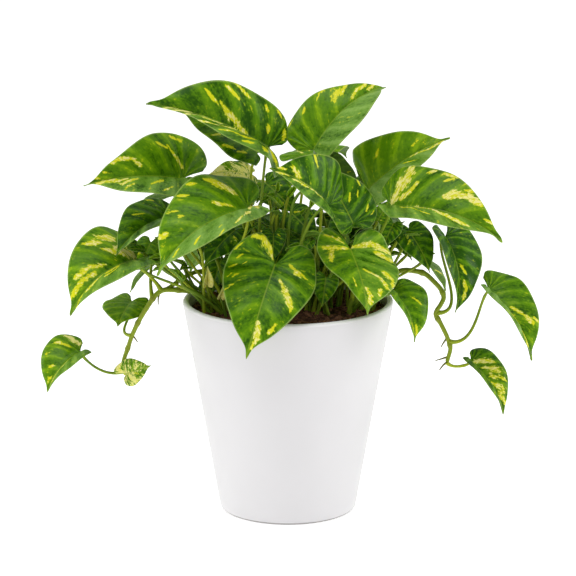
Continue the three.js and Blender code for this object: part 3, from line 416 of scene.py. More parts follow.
# Rooted stems: radius at the foot, radius at the end, place of the foot, and the path above the neck.
STEMS = {
    "stem_trailing_left": [
        (2, 1.5, (-57, 2), [
            (-61, 1, 156), (-68, 0, 160), (-75, 0, 161), (-83, -2, 162), (-90, -4, 162), (-95.5, -5, 158),
            (-101, -6, 150), (-107, -6, 140), (-112, -5, 129), (-115, -4, 120), (-118, -3, 111),
            (-119, -3, 105), (-118, -4, 101),
        ]),
        (1.7, 1.5, (-47, 19), [
            (-52, 19, 163), (-62, 16, 171), (-73, 9, 169.5), (-85, -1, 163.5), (-90, -4, 162),
        ]),
    ],
    "stem_trailing_right": [
        (2.1, 1.5, (61, 8), [
            (65, 8, 160), (73, 8, 169), (82, 9, 173.5), (92, 9, 173), (99, 8, 171), (105, 6, 166),
            (110, 5, 160.5), (112, 4, 155), (110, 3, 150), (107, 2, 145.5), (106.5, 2, 142),
            (110, 1, 136), (114, 0, 128), (116, 0, 122.5), (117, -1, 118), (116, -1, 113),
            (114.5, -2, 108),
        ]),
    ],
    "stem_left": [(2.4, 1.8, (-44, -12), [(-45, -11, 160)])],
    "stem_centre_left": [(2.4, 1.8, (-22, 4), [(-22, 5, 168)])],
    "stem_centre": [(2.4, 1.8, (-4, -24), [(-4, -23, 158)])],
    "stem_centre_right": [(2.4, 1.8, (20, -4), [(21, -3, 164)])],
    "stem_right": [(2.4, 1.8, (44, -18), [(46, -17, 160)])],
    "stem_back_left": [(2.4, 1.8, (-30, 34), [(-32, 35, 162)])],
    "stem_back": [(2.4, 1.8, (2, 44), [(2, 45, 160)])],
    "stem_back_right": [(2.4, 1.8, (34, 30), [(36, 31, 162)])],
}
# Thin roots that hang in the air from the trailing stems: radii and path.
AIR_ROOTS = {
    "stem_trailing_left": [
        (0.8, 0.3, [(-92, -4, 161), (-93, -5, 156), (-93, -5, 151.5)]),
        (0.8, 0.3, [(-112, -5, 129), (-110, -5.5, 127), (-108, -6, 124)]),
    ],
    "stem_trailing_right": [
        (0.8, 0.3, [(114, 0, 125), (112, 0, 122), (110, 0, 118.5)]),
        (0.8, 0.3, [(115.5, -1, 112), (111, -1, 110.5), (106, -1, 109)]),
        (0.9, 0.35, [(114.5, -2, 108), (112, -2, 106), (109, -2, 102)]),
    ],
}

# The square lamps: name, place and width. They all point at LAMP_AIM. All in metres.
LAMPS = (
    ("Top", (-0.3, -0.5, 1.9), 1.0), ("Left", (-1.8, 0.1, 0.9), 1.2), ("Right", (1.8, 0.1, 0.9), 1.2),
)
LAMP_AIM = (0, 0, 0.2)


def blend_rows(rows, places):
    """Values at fractional places along a list of rows, on a smooth curve through the rows."""
    rows = np.asarray(rows, float)
    padded = np.vstack([2 * rows[0] - rows[1], rows, 2 * rows[-1] - rows[-2]])
    i = np.clip(np.floor(places).astype(int), 0, len(rows) - 2)
    t = (places - i)[:, None]
    a, b, c, d = padded[i], padded[i + 1], padded[i + 2], padded[i + 3]
    return 0.5 * (
        2 * b + (c - a) * t + (2 * a - 5 * b + 4 * c - d) * t**2 + (3 * b - a - 3 * c + d) * t**3
    )


def unit(vectors):
    """Vectors at length one."""
    vectors = np.asarray(vectors, float)
    return vectors / np.maximum(np.linalg.norm(vectors, axis=-1, keepdims=True), 1e-12)


def bell(distance, reach):
    """A smooth hump: 1 at distance 0, and nearly 0 at twice its reach."""
    return np.exp(-((distance / reach) ** 2))


def turned(x, y, angle):
    """Two coordinates turned by an angle."""
    return x * math.cos(angle) - y * math.sin(angle), x * math.sin(angle) + y * math.cos(angle)


def rib_shape(arch, droop):
    """Place along, lift and turning angle along a midrib of length 1 that bends more towards its tip."""
    middles = (np.arange(RIB_STEPS) + 0.5) / RIB_STEPS
    turns = -np.radians(arch) * middles**droop
    along = np.concatenate([[0], np.cumsum(np.cos(turns))]) / RIB_STEPS
    lift = np.concatenate([[0], np.cumsum(np.sin(turns))]) / RIB_STEPS
    tilt = -math.atan2(lift[-1], along[-1])
    ends = np.arange(RIB_STEPS + 1) / RIB_STEPS
    return (*turned(along, lift, tilt), tilt - np.radians(arch) * ends**droop)


class Leaf:
    """One leaf row with its frame: where the blade starts, where it points and which way it looks."""

    def __init__(self, index, row):
        self.index = index
        self.name, self.stem, base, tip, face, rest = row
        self.facts = {**LEAF_DEFAULTS, **rest}
        self.base = np.array(base, float)
        chord = np.array(tip, float) - self.base
        reach = np.linalg.norm(chord)
        self.chord = chord / reach
        face = np.array(face, float)
        self.up = unit(face - self.chord * (face @ self.chord))
        self.side = np.cross(self.chord, self.up)
        self.rib = rib_shape(self.facts["arch"], self.facts["droop"])
        self.length = reach / self.rib[0][-1]

    def rib_at(self, y):
        """Place, lift and turning angle at distances y along the midrib; behind the base it runs on."""
        place = np.clip(y, 0, 1) * RIB_STEPS
        steps = np.arange(RIB_STEPS + 1)
        along, lift, angle = (np.interp(place, steps, values) for values in self.rib)
        behind = np.minimum(y, 0)
        return along + behind * np.cos(angle), lift + behind * np.sin(angle), angle

    def normal(self, angle):
        """The way the upper side looks where the midrib leans by an angle."""
        return self.up * math.cos(angle) - self.chord * math.sin(angle)

    def points(self, x, y, ripple):
        """Where points of the flat leaf go once the blade is folded, arched, swayed and waved."""
        facts = self.facts
        along, lift, angle = self.rib_at(y)
        right = x >= 0

        def half(name):
            return np.where(right, facts[name][1], facts[name][0])

        cup = half("cup") * np.clip((CUP_START - y) / CUP_LENGTH, 0, 1)
        curl = half("curl") * np.abs(x) / LEAF_HALF_WIDTH / 2
        fullness = 1 + half("full") * (np.clip(y, 0, 1) - FULL_FROM)
        spread = np.abs(x) * self.length * half("wide") * fullness
        lean = np.radians(half("fold") + cup + curl)
        out = spread * np.cos(lean) * np.where(right, 1, -1)
        sway = facts["sway"] * self.length * np.sin(np.pi * np.maximum(y, 0)) / 2
        rise = spread * np.sin(lean) + ripple
        normal = np.cos(angle)[:, None] * self.up - np.sin(angle)[:, None] * self.chord
        placed = (
            self.base
            + (along * self.length)[:, None] * self.chord
            + (lift * self.length)[:, None] * self.up
            + (out + sway)[:, None] * self.side
            + rise[:, None] * normal
        )
        return placed, spread

    def stalk(self, steps):
        """The stalk's curve from its stem to just under the blade."""
        facts = self.facts
        angle = self.rib[2][0]
        ahead = self.chord * math.cos(angle) + self.up * math.sin(angle)
        end = self.base - self.normal(angle) * STALK_END_DROP
        arrive = unit(ahead * facts["ahead"] + self.normal(angle))
        start = facts["start"]
        if np.isscalar(start):
            start = (*STEMS[self.stem][0][3][-1][:2], start)
        start = np.array(start, float)
        distance = np.linalg.norm(end - start)
        first = start + unit(facts["leave"]) * distance * facts["rise"]
        second = end - arrive * distance * facts["reach"]
        t = np.linspace(0, 1, steps)[:, None]
        return (
            (1 - t) ** 3 * start
            + 3 * t * (1 - t) ** 2 * first
            + 3 * t**2 * (1 - t) * second
            + t**3 * end
        )


LEAVES = [Leaf(index, row) for index, row in enumerate(LEAF_ROWS)]


def drawn_streaks(leaf):
    """Streaks for a leaf that has none of its own: they run out and ahead like the side veins."""
    draw = np.random.default_rng(STREAK_SEED + leaf.index)
    streaks = []
    few = leaf.name.startswith(("young", "leaf_inner"))
    for _ in range(draw.integers(1, 3) if few else draw.integers(4, 8)):
        side = draw.choice([-1, 1])
        foot = draw.uniform(0, 70)
        out = draw.uniform(3, 12)
        reach = draw.uniform(6, 16)
        width = draw.uniform(1.2, 2.6)
        cream = draw.uniform(0.3, 0.9)
        streaks.append((side * out, foot, side * (out + reach), foot + 0.9 * reach, width, cream))
    return streaks


def streak_depth(leaf, x, y):
    """How deep each point of the flat leaf lies in a streak, below 0 outside, and how creamy it is."""
    depth = np.full(len(x), -1.0)
    cream = np.zeros(len(x))
    streaks = STREAKS.get(leaf.name)
    if streaks is None:
        streaks = drawn_streaks(leaf)
    for x0, y0, x1, y1, width, creamy in streaks:
        start = np.array([x0, y0]) / 100
        way = np.array([x1 - x0, y1 - y0]) / 100
        share = np.clip(((x - start[0]) * way[0] + (y - start[1]) * way[1]) / (way @ way), 0, 1)
        gap = np.hypot(x - start[0] - share * way[0], y - start[1] - share * way[1])
        taper = 0.6 + 0.4 * np.sin(np.pi * (0.1 + 0.8 * share))
        here = 1 - gap / (width / 100 * taper)
        cream = np.where(here > depth, creamy, cream)
        depth = np.maximum(depth, here)
    return depth, cream


def leaf_grid(leaf, rows, columns):
    """The flat leaf as a grid of merged points, with its quads and each point's place among the veins."""
    place = np.linspace(0, len(HALF_LEAF) - 1, rows + 1)
    outline = blend_rows(HALF_LEAF, place)
    edge_x, edge_y, foot = outline[:, 0:1], outline[:, 1:2], np.clip(outline[:, 2:3], 0, 1)
    edge_x *= 1 - TIP_PINCH * bell(edge_y - TIP_PINCH_AT, TIP_PINCH_REACH)
    edge_x[-1], edge_y[-1], foot[-1] = 0, 1, 1
    w = np.linspace(0, 1, columns + 1)[None, :]
    parts = []
    for half, sign in ((0, -1), (1, 1)):
        lobed = np.where(edge_y < 0, edge_y * leaf.facts["lobe"][half], edge_y)
        bend = foot + VEIN_AHEAD * (lobed - foot)
        x = sign * (2 * w * (1 - w) * VEIN_OUT + w**2) * edge_x
        y = (1 - w) ** 2 * foot + 2 * w * (1 - w) * bend + w**2 * lobed
        wave = np.sin(place * WAVE_STEP + leaf.index * WAVE_SHIFT + sign)[:, None]
        ripple = EDGE_WAVE * leaf.length * w**2 * wave
        vein = np.repeat(place[:, None] / (len(HALF_LEAF) - 1), columns + 1, 1)
        across = np.repeat(w, rows + 1, 0)
        parts.append(np.stack([x, y, ripple, vein, across, np.full_like(x, half)], -1))
    grid = np.array(parts)
    on_rib = grid[..., 4] == 0
    on_rib[:, -1, :] = True
    grid[..., 0][on_rib] = 0
    grid[..., 2][on_rib] = 0

    # both halves share the midrib, and the veins that start at the base or end at the tip share one point
    number = np.arange(grid[..., 0].size).reshape(grid.shape[:3])
    shared = {}
    for spot in np.argwhere(on_rib):
        key = round(float(grid[tuple(spot)][1]), 6)
        number[tuple(spot)] = shared.setdefault(key, number[tuple(spot)])
    kept, number = np.unique(number, return_inverse=True)
    number = number.reshape(grid.shape[:3])
    faces = []
    for half in (0, 1):
        a, b = number[half, :-1, :-1], number[half, :-1, 1:]
        c, d = number[half, 1:, 1:], number[half, 1:, :-1]
        quads = np.stack([a, b, c, d] if half else [a, d, c, b], -1).reshape(-1, 4)
        faces += [tuple(dict.fromkeys(quad)) for quad in quads.tolist()]
    return grid.reshape(-1, 6)[kept], [face for face in faces if len(face) > 2]


def moved_on(faces, count):
    """Faces whose points are numbered that much further on."""
    return [tuple(i + count for i in face) for face in faces]


def face_normals(points, faces):
    """The smooth normal at each point of a mesh."""
    normals = np.zeros_like(points)
    for face in faces:
        corners = points[list(face)]
        total = np.zeros(3)
        for i in range(1, len(face) - 1):
            total = total + np.cross(corners[i] - corners[0], corners[i + 1] - corners[0])
        normals[list(face)] += total
    return unit(normals)


def leaf_tone(leaf):
    """How light or dark the green of a leaf is, and how much of it is cream."""
    low, high, cream = next(values for start, *values in TONES if leaf.name.startswith(start))
    drawn = np.random.default_rng(leaf.index).uniform(low, high)
    return leaf.facts.get("tone", drawn), leaf.facts.get("cream", cream)


def blade(leaf, settings):
    """The finished blade of one leaf: points in metres, faces, and its paint fields."""
    # a small leaf has a third of the steps
    share = 3 if leaf.facts["columns"] == 1 else 1
    rows, columns = settings.rows // share, settings.columns // share
    flat, faces = leaf_grid(leaf, rows, columns)
    x, y, ripple, vein, across, half = flat.T
    points, spread = leaf.points(x, y, ripple)
    normals = face_normals(points, faces)

    # the skin rises between the side veins, and the midrib is a groove above and a ridge below
    fade = np.clip(spread / RELIEF_REACH, 0, 1) * (1 - across**6)
    beat = np.cos(2 * np.pi * settings.side_veins * vein + leaf.index)
    puff = settings.puff / MM * fade * (0.5 - 0.5 * beat)
    drift = settings.drift / MM * fade * np.sin(5 * y + 7 * x + leaf.index) * np.sin(9 * x - 4 * y)
    narrowing = 1 - RIB_NARROWING * np.clip(y, 0, 1)
    rib = bell(spread, RIB_WIDTH * narrowing)
    lift = puff + drift - settings.rib_groove / MM * rib * narrowing
    thick = settings.blade_thickness / MM / 2 * (1 - EDGE_THINNING * across**2)
    ridge = settings.rib_ridge / MM * rib * narrowing
    top = points + normals * (lift + thick)[:, None]
    bottom = points + normals * (lift - thick - ridge)[:, None]

    count = len(points)
    edges = {edge for face in faces for edge in zip(face, face[1:] + face[:1])}
    rim = [(b, a, a + count, b + count) for a, b in sorted(edges) if (b, a) not in edges]
    closed = faces + moved_on([face[::-1] for face in faces], count) + rim
    depth, cream = streak_depth(leaf, x, y)
    tone, all_over = leaf_tone(leaf)
    # the half with painted sheen, and its strength
    sheen_half, bloom = leaf.facts["bloom"]
    none = np.zeros(count)
    fields = {
        "vein": (vein, np.where(half > 0, across, -across), np.full(count, leaf.index)),
        "paint": (depth, np.maximum(cream, all_over), np.full(count, tone)),
        "lie": (none, spread, np.full(count, all_over)),
        "bloom": (np.where(half == sheen_half, bloom, 0), none, none),
    }
    doubled = {key: np.tile(np.column_stack(values), (2, 1)) for key, values in fields.items()}
    doubled["lie"][count:, 0] = 1
    return np.vstack([top, bottom]) * MM, closed, doubled


def make_mesh(name, points, faces, fields=None):
    """A smooth-shaded mesh object in the scene, with vector attributes for its paint."""
    mesh = bpy.data.meshes.new(name)
    mesh.from_pydata(np.asarray(points).tolist(), [], faces)
    mesh.polygons.foreach_set("use_smooth", [True] * len(mesh.polygons))
    for key, values in (fields or {}).items():
        attribute = mesh.attributes.new(key, "FLOAT_VECTOR", "POINT")
        attribute.data.foreach_set("vector", np.asarray(values, np.float32).ravel())
    mesh.update()
    piece = bpy.data.objects.new(name, mesh)
    bpy.context.scene.collection.objects.link(piece)
    return piece


def place_piece(piece, material, node=None):
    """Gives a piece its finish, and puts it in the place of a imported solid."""
    piece.data.materials.append(material)
    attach(piece, "root")
    if node:
        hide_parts(node)


def distances(path):
    """How far along a path each of its points lies."""
    return np.concatenate([[0], np.cumsum(np.linalg.norm(np.diff(path, axis=0), axis=1))])


def tube(path, radii, sides):
    """Points, faces and (angle, distance, radius) of a closed round tube along a path."""
    path = np.asarray(path, float)
    way = unit(np.gradient(path, axis=0))
    across = np.array([1.0, 0, 0]) if abs(way[0][0]) < 0.8 else np.array([0, 1.0, 0])
    angles = round_angles(sides)
    rings, fields = [], []
    for point, direction, radius, gone in zip(path, way, radii, distances(path)):
        across = unit(across - direction * (across @ direction))
        other = np.cross(direction, across)
        ring = np.outer(np.cos(angles), across) + np.outer(np.sin(angles), other)
        rings.append(point + radius * ring)
        fields.append(np.column_stack([angles, np.full(sides, gone), np.full(sides, radius)]))
    faces = []
    for i in range(len(path) - 1):
        for k in range(sides):
            a, b = i * sides + k, i * sides + (k + 1) % sides
            faces.append((a, b, b + sides, a + sides))
    last = (len(path) - 1) * sides
    faces.append(tuple(reversed(range(sides))))
    faces.append(tuple(range(last, last + sides)))
    return np.vstack(rings), faces, np.vstack(fields)


def stem_tube(start_radius, end_radius, path, settings, knots):
    """A stem along its path, swollen at its leaf joints and rounded at its end."""
    steps = (len(path) - 1) * settings.stem_steps
    curve = blend_rows(path, np.linspace(0, len(path) - 1, steps + 1))
    gone = distances(curve)
    radii = start_radius + (end_radius - start_radius) * gone / gone[-1]
    if knots:
        gap = settings.joint_gap / MM
        radii = radii * (1 + JOINT_SWELL * bell((gone + gap / 3) % gap - gap / 2, JOINT_REACH))
    end = np.clip((gone[-1] - gone) / end_radius, 0, 1)
    return tube(curve, radii * np.sqrt(np.maximum(1 - (1 - end) ** 2, 0.04)), settings.stem_sides)


def stalk_tube(leaf, settings):
    """A leaf stalk: a broad foot, a slim middle, a knee under the blade and a tail along the midrib."""
    curve = leaf.stalk(settings.stalk_steps)
    tail = []
    for y, drop in STALK_TAIL:
        along, lift, angle = (float(value[0]) for value in leaf.rib_at(np.array([y])))
        spot = leaf.base + (leaf.chord * along + leaf.up * lift) * leaf.length
        tail.append(spot - leaf.normal(angle) * drop)
    path = np.vstack([curve, tail])
    gone = distances(path)
    whole = gone[len(curve) - 1]
    radius = leaf.facts["stalk"]
    tip = min(radius, STALK_TIP_RADIUS)
    radii = radius + (tip - radius) * np.clip(gone / whole, 0, 1)
    radii = radii + FOOT_SWELL * radius * np.exp(-gone / FOOT_REACH)
    radii = radii + KNEE_SWELL * bell(gone - whole + KNEE_BEFORE, KNEE_REACH)
    beyond = np.clip((gone - whole) / (gone[-1] - whole), 0, 1)
    return tube(path, radii * (1 - TAIL_TAPER * beyond), settings.stalk_sides)


class Bundle:
    """Several shapes gathered into one mesh."""

    def __init__(self):
        self.points, self.faces, self.fields = [], [], {}
        self.count = 0

    def add(self, points, faces, fields):
        """Adds a shape: its points in metres, its faces and its paint fields."""
        self.points.append(points)
        self.faces += moved_on(faces, self.count)
        for key, values in fields.items():
            self.fields.setdefault(key, []).append(values)
        self.count += len(points)

    def add_tube(self, shape, kind, tone):
        """Adds a tube in millimetres: a STALK, a STEM or a ROOT, and how fresh its green is."""
        points, faces, lie = shape
        paint = np.tile([kind, tone, self.count % FIBRE_PATTERNS], (len(points), 1))
        self.add(points * MM, faces, {"lie": lie, "paint": paint})

    def piece(self, name):
        """The finished mesh object."""
        fields = {key: np.vstack(values) for key, values in self.fields.items()}
        return make_mesh(name, np.vstack(self.points), self.faces, fields)


def round_angles(sides):
    """The angles of the corners of a round shape."""
    return 2 * np.pi * np.arange(sides) / sides


def turned_surface(profile, sides):
    """Points and faces of a closed shape turned round the pot's axis, from (radius, height) pairs."""
    points, rings = [], []
    for radius, height in profile:
        start = len(points)
        if radius == 0:
            points.append((0, 0, height))
            rings.append([start] * sides)
            continue
        points += [(*turned(radius, 0, angle), height) for angle in round_angles(sides)]
        rings.append(list(range(start, start + sides)))
    faces = []
    for low, high in zip(rings, rings[1:]):
        for k in range(sides):
            turn = (k + 1) % sides
            face = tuple(dict.fromkeys((low[k], low[turn], high[turn], high[k])))
            if len(face) > 2:
                faces.append(face)
    return np.array(points, float), faces


def corner_arc(centre, radius, start, stop, steps):
    """Profile points of a rounded corner between two angles in degrees."""
    turns = np.radians(np.linspace(start, stop, steps + 1))
    return [(centre[0] + radius * math.cos(a), centre[1] + radius * math.sin(a)) for a in turns]


def young_plants(settings):
    """Small leaves on thin stalks from the soil, which fill the middle of the plant."""
    draw = np.random.default_rng(settings.seed)
    leaves = []

    def grow(kind, index, base, tip, face, **facts):
        """Adds a young leaf. Its index gives it its own streaks and tone."""
        leaves.append(Leaf(index, ("young_" + kind, "soil", base, tip, face, {"columns": 1, **facts})))

    for i in range(settings.count):
        turn = draw.uniform(0, 2 * math.pi)
        squeeze = YOUNG_FRONT if math.sin(turn) < 0 else 1
        way = np.array([math.cos(turn), squeeze * math.sin(turn)])
        root = draw.uniform(8, 54)
        out = root + draw.uniform(0, 16)
        height = draw.uniform(settings.low, settings.high) / MM
        long = draw.uniform(settings.short_leaf, settings.long_leaf) / MM
        heading = turn + draw.uniform(-1.1, 1.1)
        pitch = draw.uniform(-1.1, 0.4)
        base = np.array([*(out * way + YOUNG_SHIFT), height])
        flat = np.array([math.cos(heading), squeeze * math.sin(heading), 0])
        tip = base + long * (flat * math.cos(pitch) + np.array([0, 0, math.sin(pitch)]))
        face = flat * draw.uniform(0.3, 0.9) + np.array([0, 0, 0.8])
        folded = draw.uniform(8, 30)
        rolled = i % 4 == 3
        grow(
            "roll" if rolled else "leaf", 100 + i, base, tip, face, arch=draw.uniform(20, 70),
            fold=(70, 64) if rolled else (folded, folded), wide=(0.6, 0.6) if rolled else (1.1, 1.1),
            lobe=(1.1, 1.1), stalk=draw.uniform(0.8, 1.15),
            start=(*(root * way + YOUNG_SHIFT), YOUNG_FOOT), rise=0.55, reach=0.25,
        )
    for feet, tops, spread, count in CLUMPS:
        for _ in range(count):
            foot = np.array(feet) + draw.uniform(-1, 1, 2) * CLUMP_FOOT
            top = np.array(tops) + draw.uniform(-1, 1, 3) * spread
            lean = np.array([*(top[:2] - foot), 0])
            way = unit(lean + draw.uniform(-20, 20, 3))
            rolled = draw.uniform() < 0.6
            folded = 66 if rolled else draw.uniform(10, 35)
            arch = draw.uniform(20, 60)
            stalk = draw.uniform(0.9, 1.3)
            tip = top + way * draw.uniform(8, 15)
            grow(
                "roll" if rolled else "leaf", 300 + len(leaves), top, tip, (0.3, -0.5, 0.8), arch=arch,
                fold=(folded, folded), wide=(0.7, 0.7), lobe=(0.5, 0.5), stalk=stalk,
                start=(*foot, YOUNG_FOOT), leave=(*(lean[:2] * 0.012), 1), rise=0.45, reach=0.2,
            )
    for i, (base, tip) in enumerate(PALE_ROLLS):
        grow(
            "pale", 200 + i, base, tip, (0.3, -1, 0.2), arch=20, fold=(60, 55), lobe=(0.6, 0.6),
            stalk=0.9, start=(base[0] + 4, base[1] + 2, YOUNG_FOOT), reach=0.2,
        )
    return leaves


def soil_height(x, y, settings):
    """Height of the loose soil above its flat level, in millimetres."""
    rough = np.zeros_like(x)
    for size, share, turn in BED_WAVES:
        u, v = (value * 2 * math.pi / size for value in turned(x, y, -turn))
        rough = rough + share * np.sin(u + 1.7 * np.sin(0.6 * v)) * np.cos(v + 1.3 * np.sin(0.7 * u))
    return settings.relief / MM * rough


def soil_mesh(settings):
    """The bed of soil with its relief, and crumbs of bark and peat lying on it."""
    low = POT_FLOOR + SOIL_GAP
    edge = SOIL_TOP - 2
    side = inner_radius(edge) - SOIL_GAP
    shoulder = side - 1.5
    profile = [(0, low), (inner_radius(low) - 4, low), (inner_radius(low + 4) - SOIL_GAP, low + 4)]
    profile += [(side, edge), (shoulder, edge + 1.2)]
    profile += [(shoulder * (1 - step / BED_RINGS), SOIL_TOP) for step in range(1, BED_RINGS)]
    profile += [(0, SOIL_TOP)]
    points, faces = turned_surface(profile, BED_SIDES)
    x, y, z = points.T
    fade = np.clip((side - np.hypot(x, y)) / BED_FADE, 0, 1)
    lift = soil_height(x, y, settings) * fade
    points[:, 2] = np.where(z >= SOIL_TOP, SOIL_TOP - 1.2 + lift + 0.8 * fade, z)
    bundle = Bundle()
    bundle.add(points * MM, faces, {"paint": np.tile([0.0, 0.5, 0.0], (len(points), 1))})
    draw = np.random.default_rng(CRUMB_SEED)
    ball, ball_faces = crumb_shape()
    for _ in range(settings.crumbs):
        turn = draw.uniform(0, 2 * np.pi)
        out = (side - 3) * math.sqrt(draw.uniform(0, 1))
        x, y = turned(out, 0, turn)
        size = draw.uniform(settings.crumb_small, settings.crumb_large) / MM / 2
        stretch = np.array([draw.uniform(0.7, 1.6), draw.uniform(0.6, 1.0), draw.uniform(0.4, 0.8)])
        lumps = 1 + draw.uniform(-0.22, 0.22, len(ball))
        spin = draw.uniform(0, np.pi)
        tilt = draw.uniform(-0.5, 0.5)
        shape = ball * lumps[:, None] * stretch * size
        across, rise = turned(shape[:, 0], shape[:, 2], tilt)
        east, north = turned(across, shape[:, 1], spin)
        placed = np.column_stack([x + east, y + north, rise])
        ground = float(soil_height(np.array([x]), np.array([y]), settings)[0])
        placed[:, 2] += SOIL_TOP - 0.6 + ground * min((side - out) / BED_FADE, 1) + 0.2 * size
        paint = [1.0, draw.uniform(0, 1), draw.uniform(0, 1)]
        bundle.add(placed * MM, ball_faces, {"paint": np.tile(paint, (len(ball), 1))})
    return bundle.piece("soil_bed")


def crumb_shape():
    """Points and faces of a small twenty-sided lump of radius 1."""
    gold = (1 + math.sqrt(5)) / 2
    points = [(s, t * gold, 0) for s in (-1, 1) for t in (1, -1)]
    points += [(0, s, t * gold) for t in (-1, 1) for s in (-1, 1)]
    points += [(t * gold, 0, s) for t in (1, -1) for s in (-1, 1)]
    points = unit(np.array(points, float))
    faces = []
    for i in range(12):
        for j in range(i + 1, 12):
            for k in range(j + 1, 12):
                sides = [points[i] - points[j], points[j] - points[k], points[k] - points[i]]
                if max(np.linalg.norm(side) for side in sides) > 1.1:
                    continue
                out = np.cross(points[j] - points[i], points[k] - points[i]) @ points[i] > 0
                faces.append((i, j, k) if out else (i, k, j))
    return points, faces


def outer_radius(height):
    """Radius of the outside of the pot at a height."""
    return POT_FOOT_RADIUS + (POT_TOP_RADIUS - POT_FOOT_RADIUS) * height / POT_HEIGHT


def inner_radius(height):
    """Radius of the inside of the pot at a height."""
    return outer_radius(height) - POT_WALL


def pot_mesh(settings):
    """The pot: a tapered wall with a rounded foot, a rounded lip and a flat inside floor."""
    round_foot = settings.foot_round / MM
    lip = POT_WALL / 2 - 0.05
    top = POT_HEIGHT - lip
    middle = outer_radius(top) - POT_WALL / 2
    profile = [(0, FOOT_RING[0][1])]
    profile += [(POT_FOOT_RADIUS - inset, height) for inset, height in FOOT_RING]
    foot_centre = (outer_radius(round_foot) - round_foot, round_foot)
    profile += corner_arc(foot_centre, round_foot, -88, -8, 8)
    heights = np.linspace(round_foot + 3, top - 4, 24)
    profile += [(outer_radius(height), float(height)) for height in heights]
    profile += corner_arc((middle, top), lip, 0, 180, 16)
    heights = np.linspace(top - 4, POT_FLOOR + 4, 12)
    profile += [(inner_radius(height), float(height)) for height in heights]
    profile += corner_arc((inner_radius(POT_FLOOR) - 3.2, POT_FLOOR + 3), 3, -15, -90, 6)
    profile += [(0, POT_FLOOR)]
    points, faces = turned_surface(profile, settings.sides)
    none = np.zeros(len(points))
    fields = {"lie": np.column_stack([points[:, 2], none, none])}
    return make_mesh("planter", points * MM, faces, fields)


class Signal:
    """A shader value that works in Python sums. Each sum adds a Math node."""

    def __init__(self, finish, socket):
        self.finish = finish
        self.socket = socket

    def sum(self, operation, *values):
        """One Math node on these values."""
        return self.finish.node("ShaderNodeMath", {"operation": operation}, dict(enumerate(values)))

    def __add__(self, other):
        return self.sum("ADD", self, other)

    def __sub__(self, other):
        return self.sum("SUBTRACT", self, other)

    def __rsub__(self, other):
        return self.sum("SUBTRACT", other, self)

    def __mul__(self, other):
        return self.sum("MULTIPLY", self, other)

    __radd__ = __add__
    __rmul__ = __mul__

    def size(self):
        """The value without its sign."""
        return self.sum("ABSOLUTE", self)

    def wave(self):
        """The cosine of the value."""
        return self.sum("COSINE", self)

    def step(self, low, high):
        """Rises smoothly from 0 at low to 1 at high."""
        sockets = {"Value": self, "From Min": low, "From Max": high}
        return self.finish.node("ShaderNodeMapRange", {"interpolation_type": "SMOOTHSTEP"}, sockets)


class Finish:
    """A procedural material under construction."""

    def __init__(self, name):
        self.material = bpy.data.materials.new(name)
        self.material.use_nodes = True
        self.tree = self.material.node_tree
        self.shader = self.tree.nodes["Principled BSDF"]

    def node(self, kind, settings, sockets, output=0):
        """Adds a node: its settings first, then the values or links of its sockets."""
        node = self.tree.nodes.new(kind)
        for key, value in settings.items():
            setattr(node, key, value)
        for key, value in sockets.items():
            self.fill(node.inputs[key], value)
        return Signal(self, node.outputs[output])

    def fill(self, socket, value):
        """Links a signal to a socket, or sets the socket's own value. A colour gets its alpha here."""
        if isinstance(value, Signal):
            self.tree.links.new(value.socket, socket)
        else:
            socket.default_value = (*value, 1.0) if isinstance(value, Color) else value

    def field(self, name):
        """The three numbers of a mesh attribute."""
        vector = self.node("ShaderNodeAttribute", {"attribute_name": name}, {}, "Vector")
        return [self.node("ShaderNodeSeparateXYZ", {}, {0: vector}, axis) for axis in (0, 1, 2)]

    def vector(self, x, y, z):
        """A vector of three signals or numbers."""
        return self.node("ShaderNodeCombineXYZ", {}, {0: x, 1: y, 2: z})

    def place(self):
        """The place in the object, in metres."""
        return self.node("ShaderNodeTexCoord", {}, {}, "Object")

    def noise(self, vector, scale, detail=2, roughness=0.5):
        """Smooth noise from 0 to 1."""
        sockets = {"Vector": vector, "Scale": scale, "Detail": detail, "Roughness": roughness}
        return self.node("ShaderNodeTexNoise", {}, sockets)

    def mix(self, share, low, high):
        """A colour between two others."""
        sockets = {0: share, 6: low, 7: high}
        return self.node("ShaderNodeMix", {"data_type": "RGBA"}, sockets, 2)

    def coats(self, skin, *coats):
        """A colour with others laid over it in turn. A coat is how much of it shows, and its colour."""
        for share, shade in coats:
            skin = self.mix(share, skin, shade)
        return skin

    def bump(self, height, distance, strength=1.0):
        """Normals that follow a height signal; distance is its full height in metres."""
        sockets = {"Height": height, "Distance": distance, "Strength": strength}
        return self.node("ShaderNodeBump", {}, sockets)

    def finished(self, **sockets):
        """The material with its shader's sockets filled."""
        for key, value in sockets.items():
            self.fill(self.shader.inputs[key.replace("_", " ")], value)
        return self.material


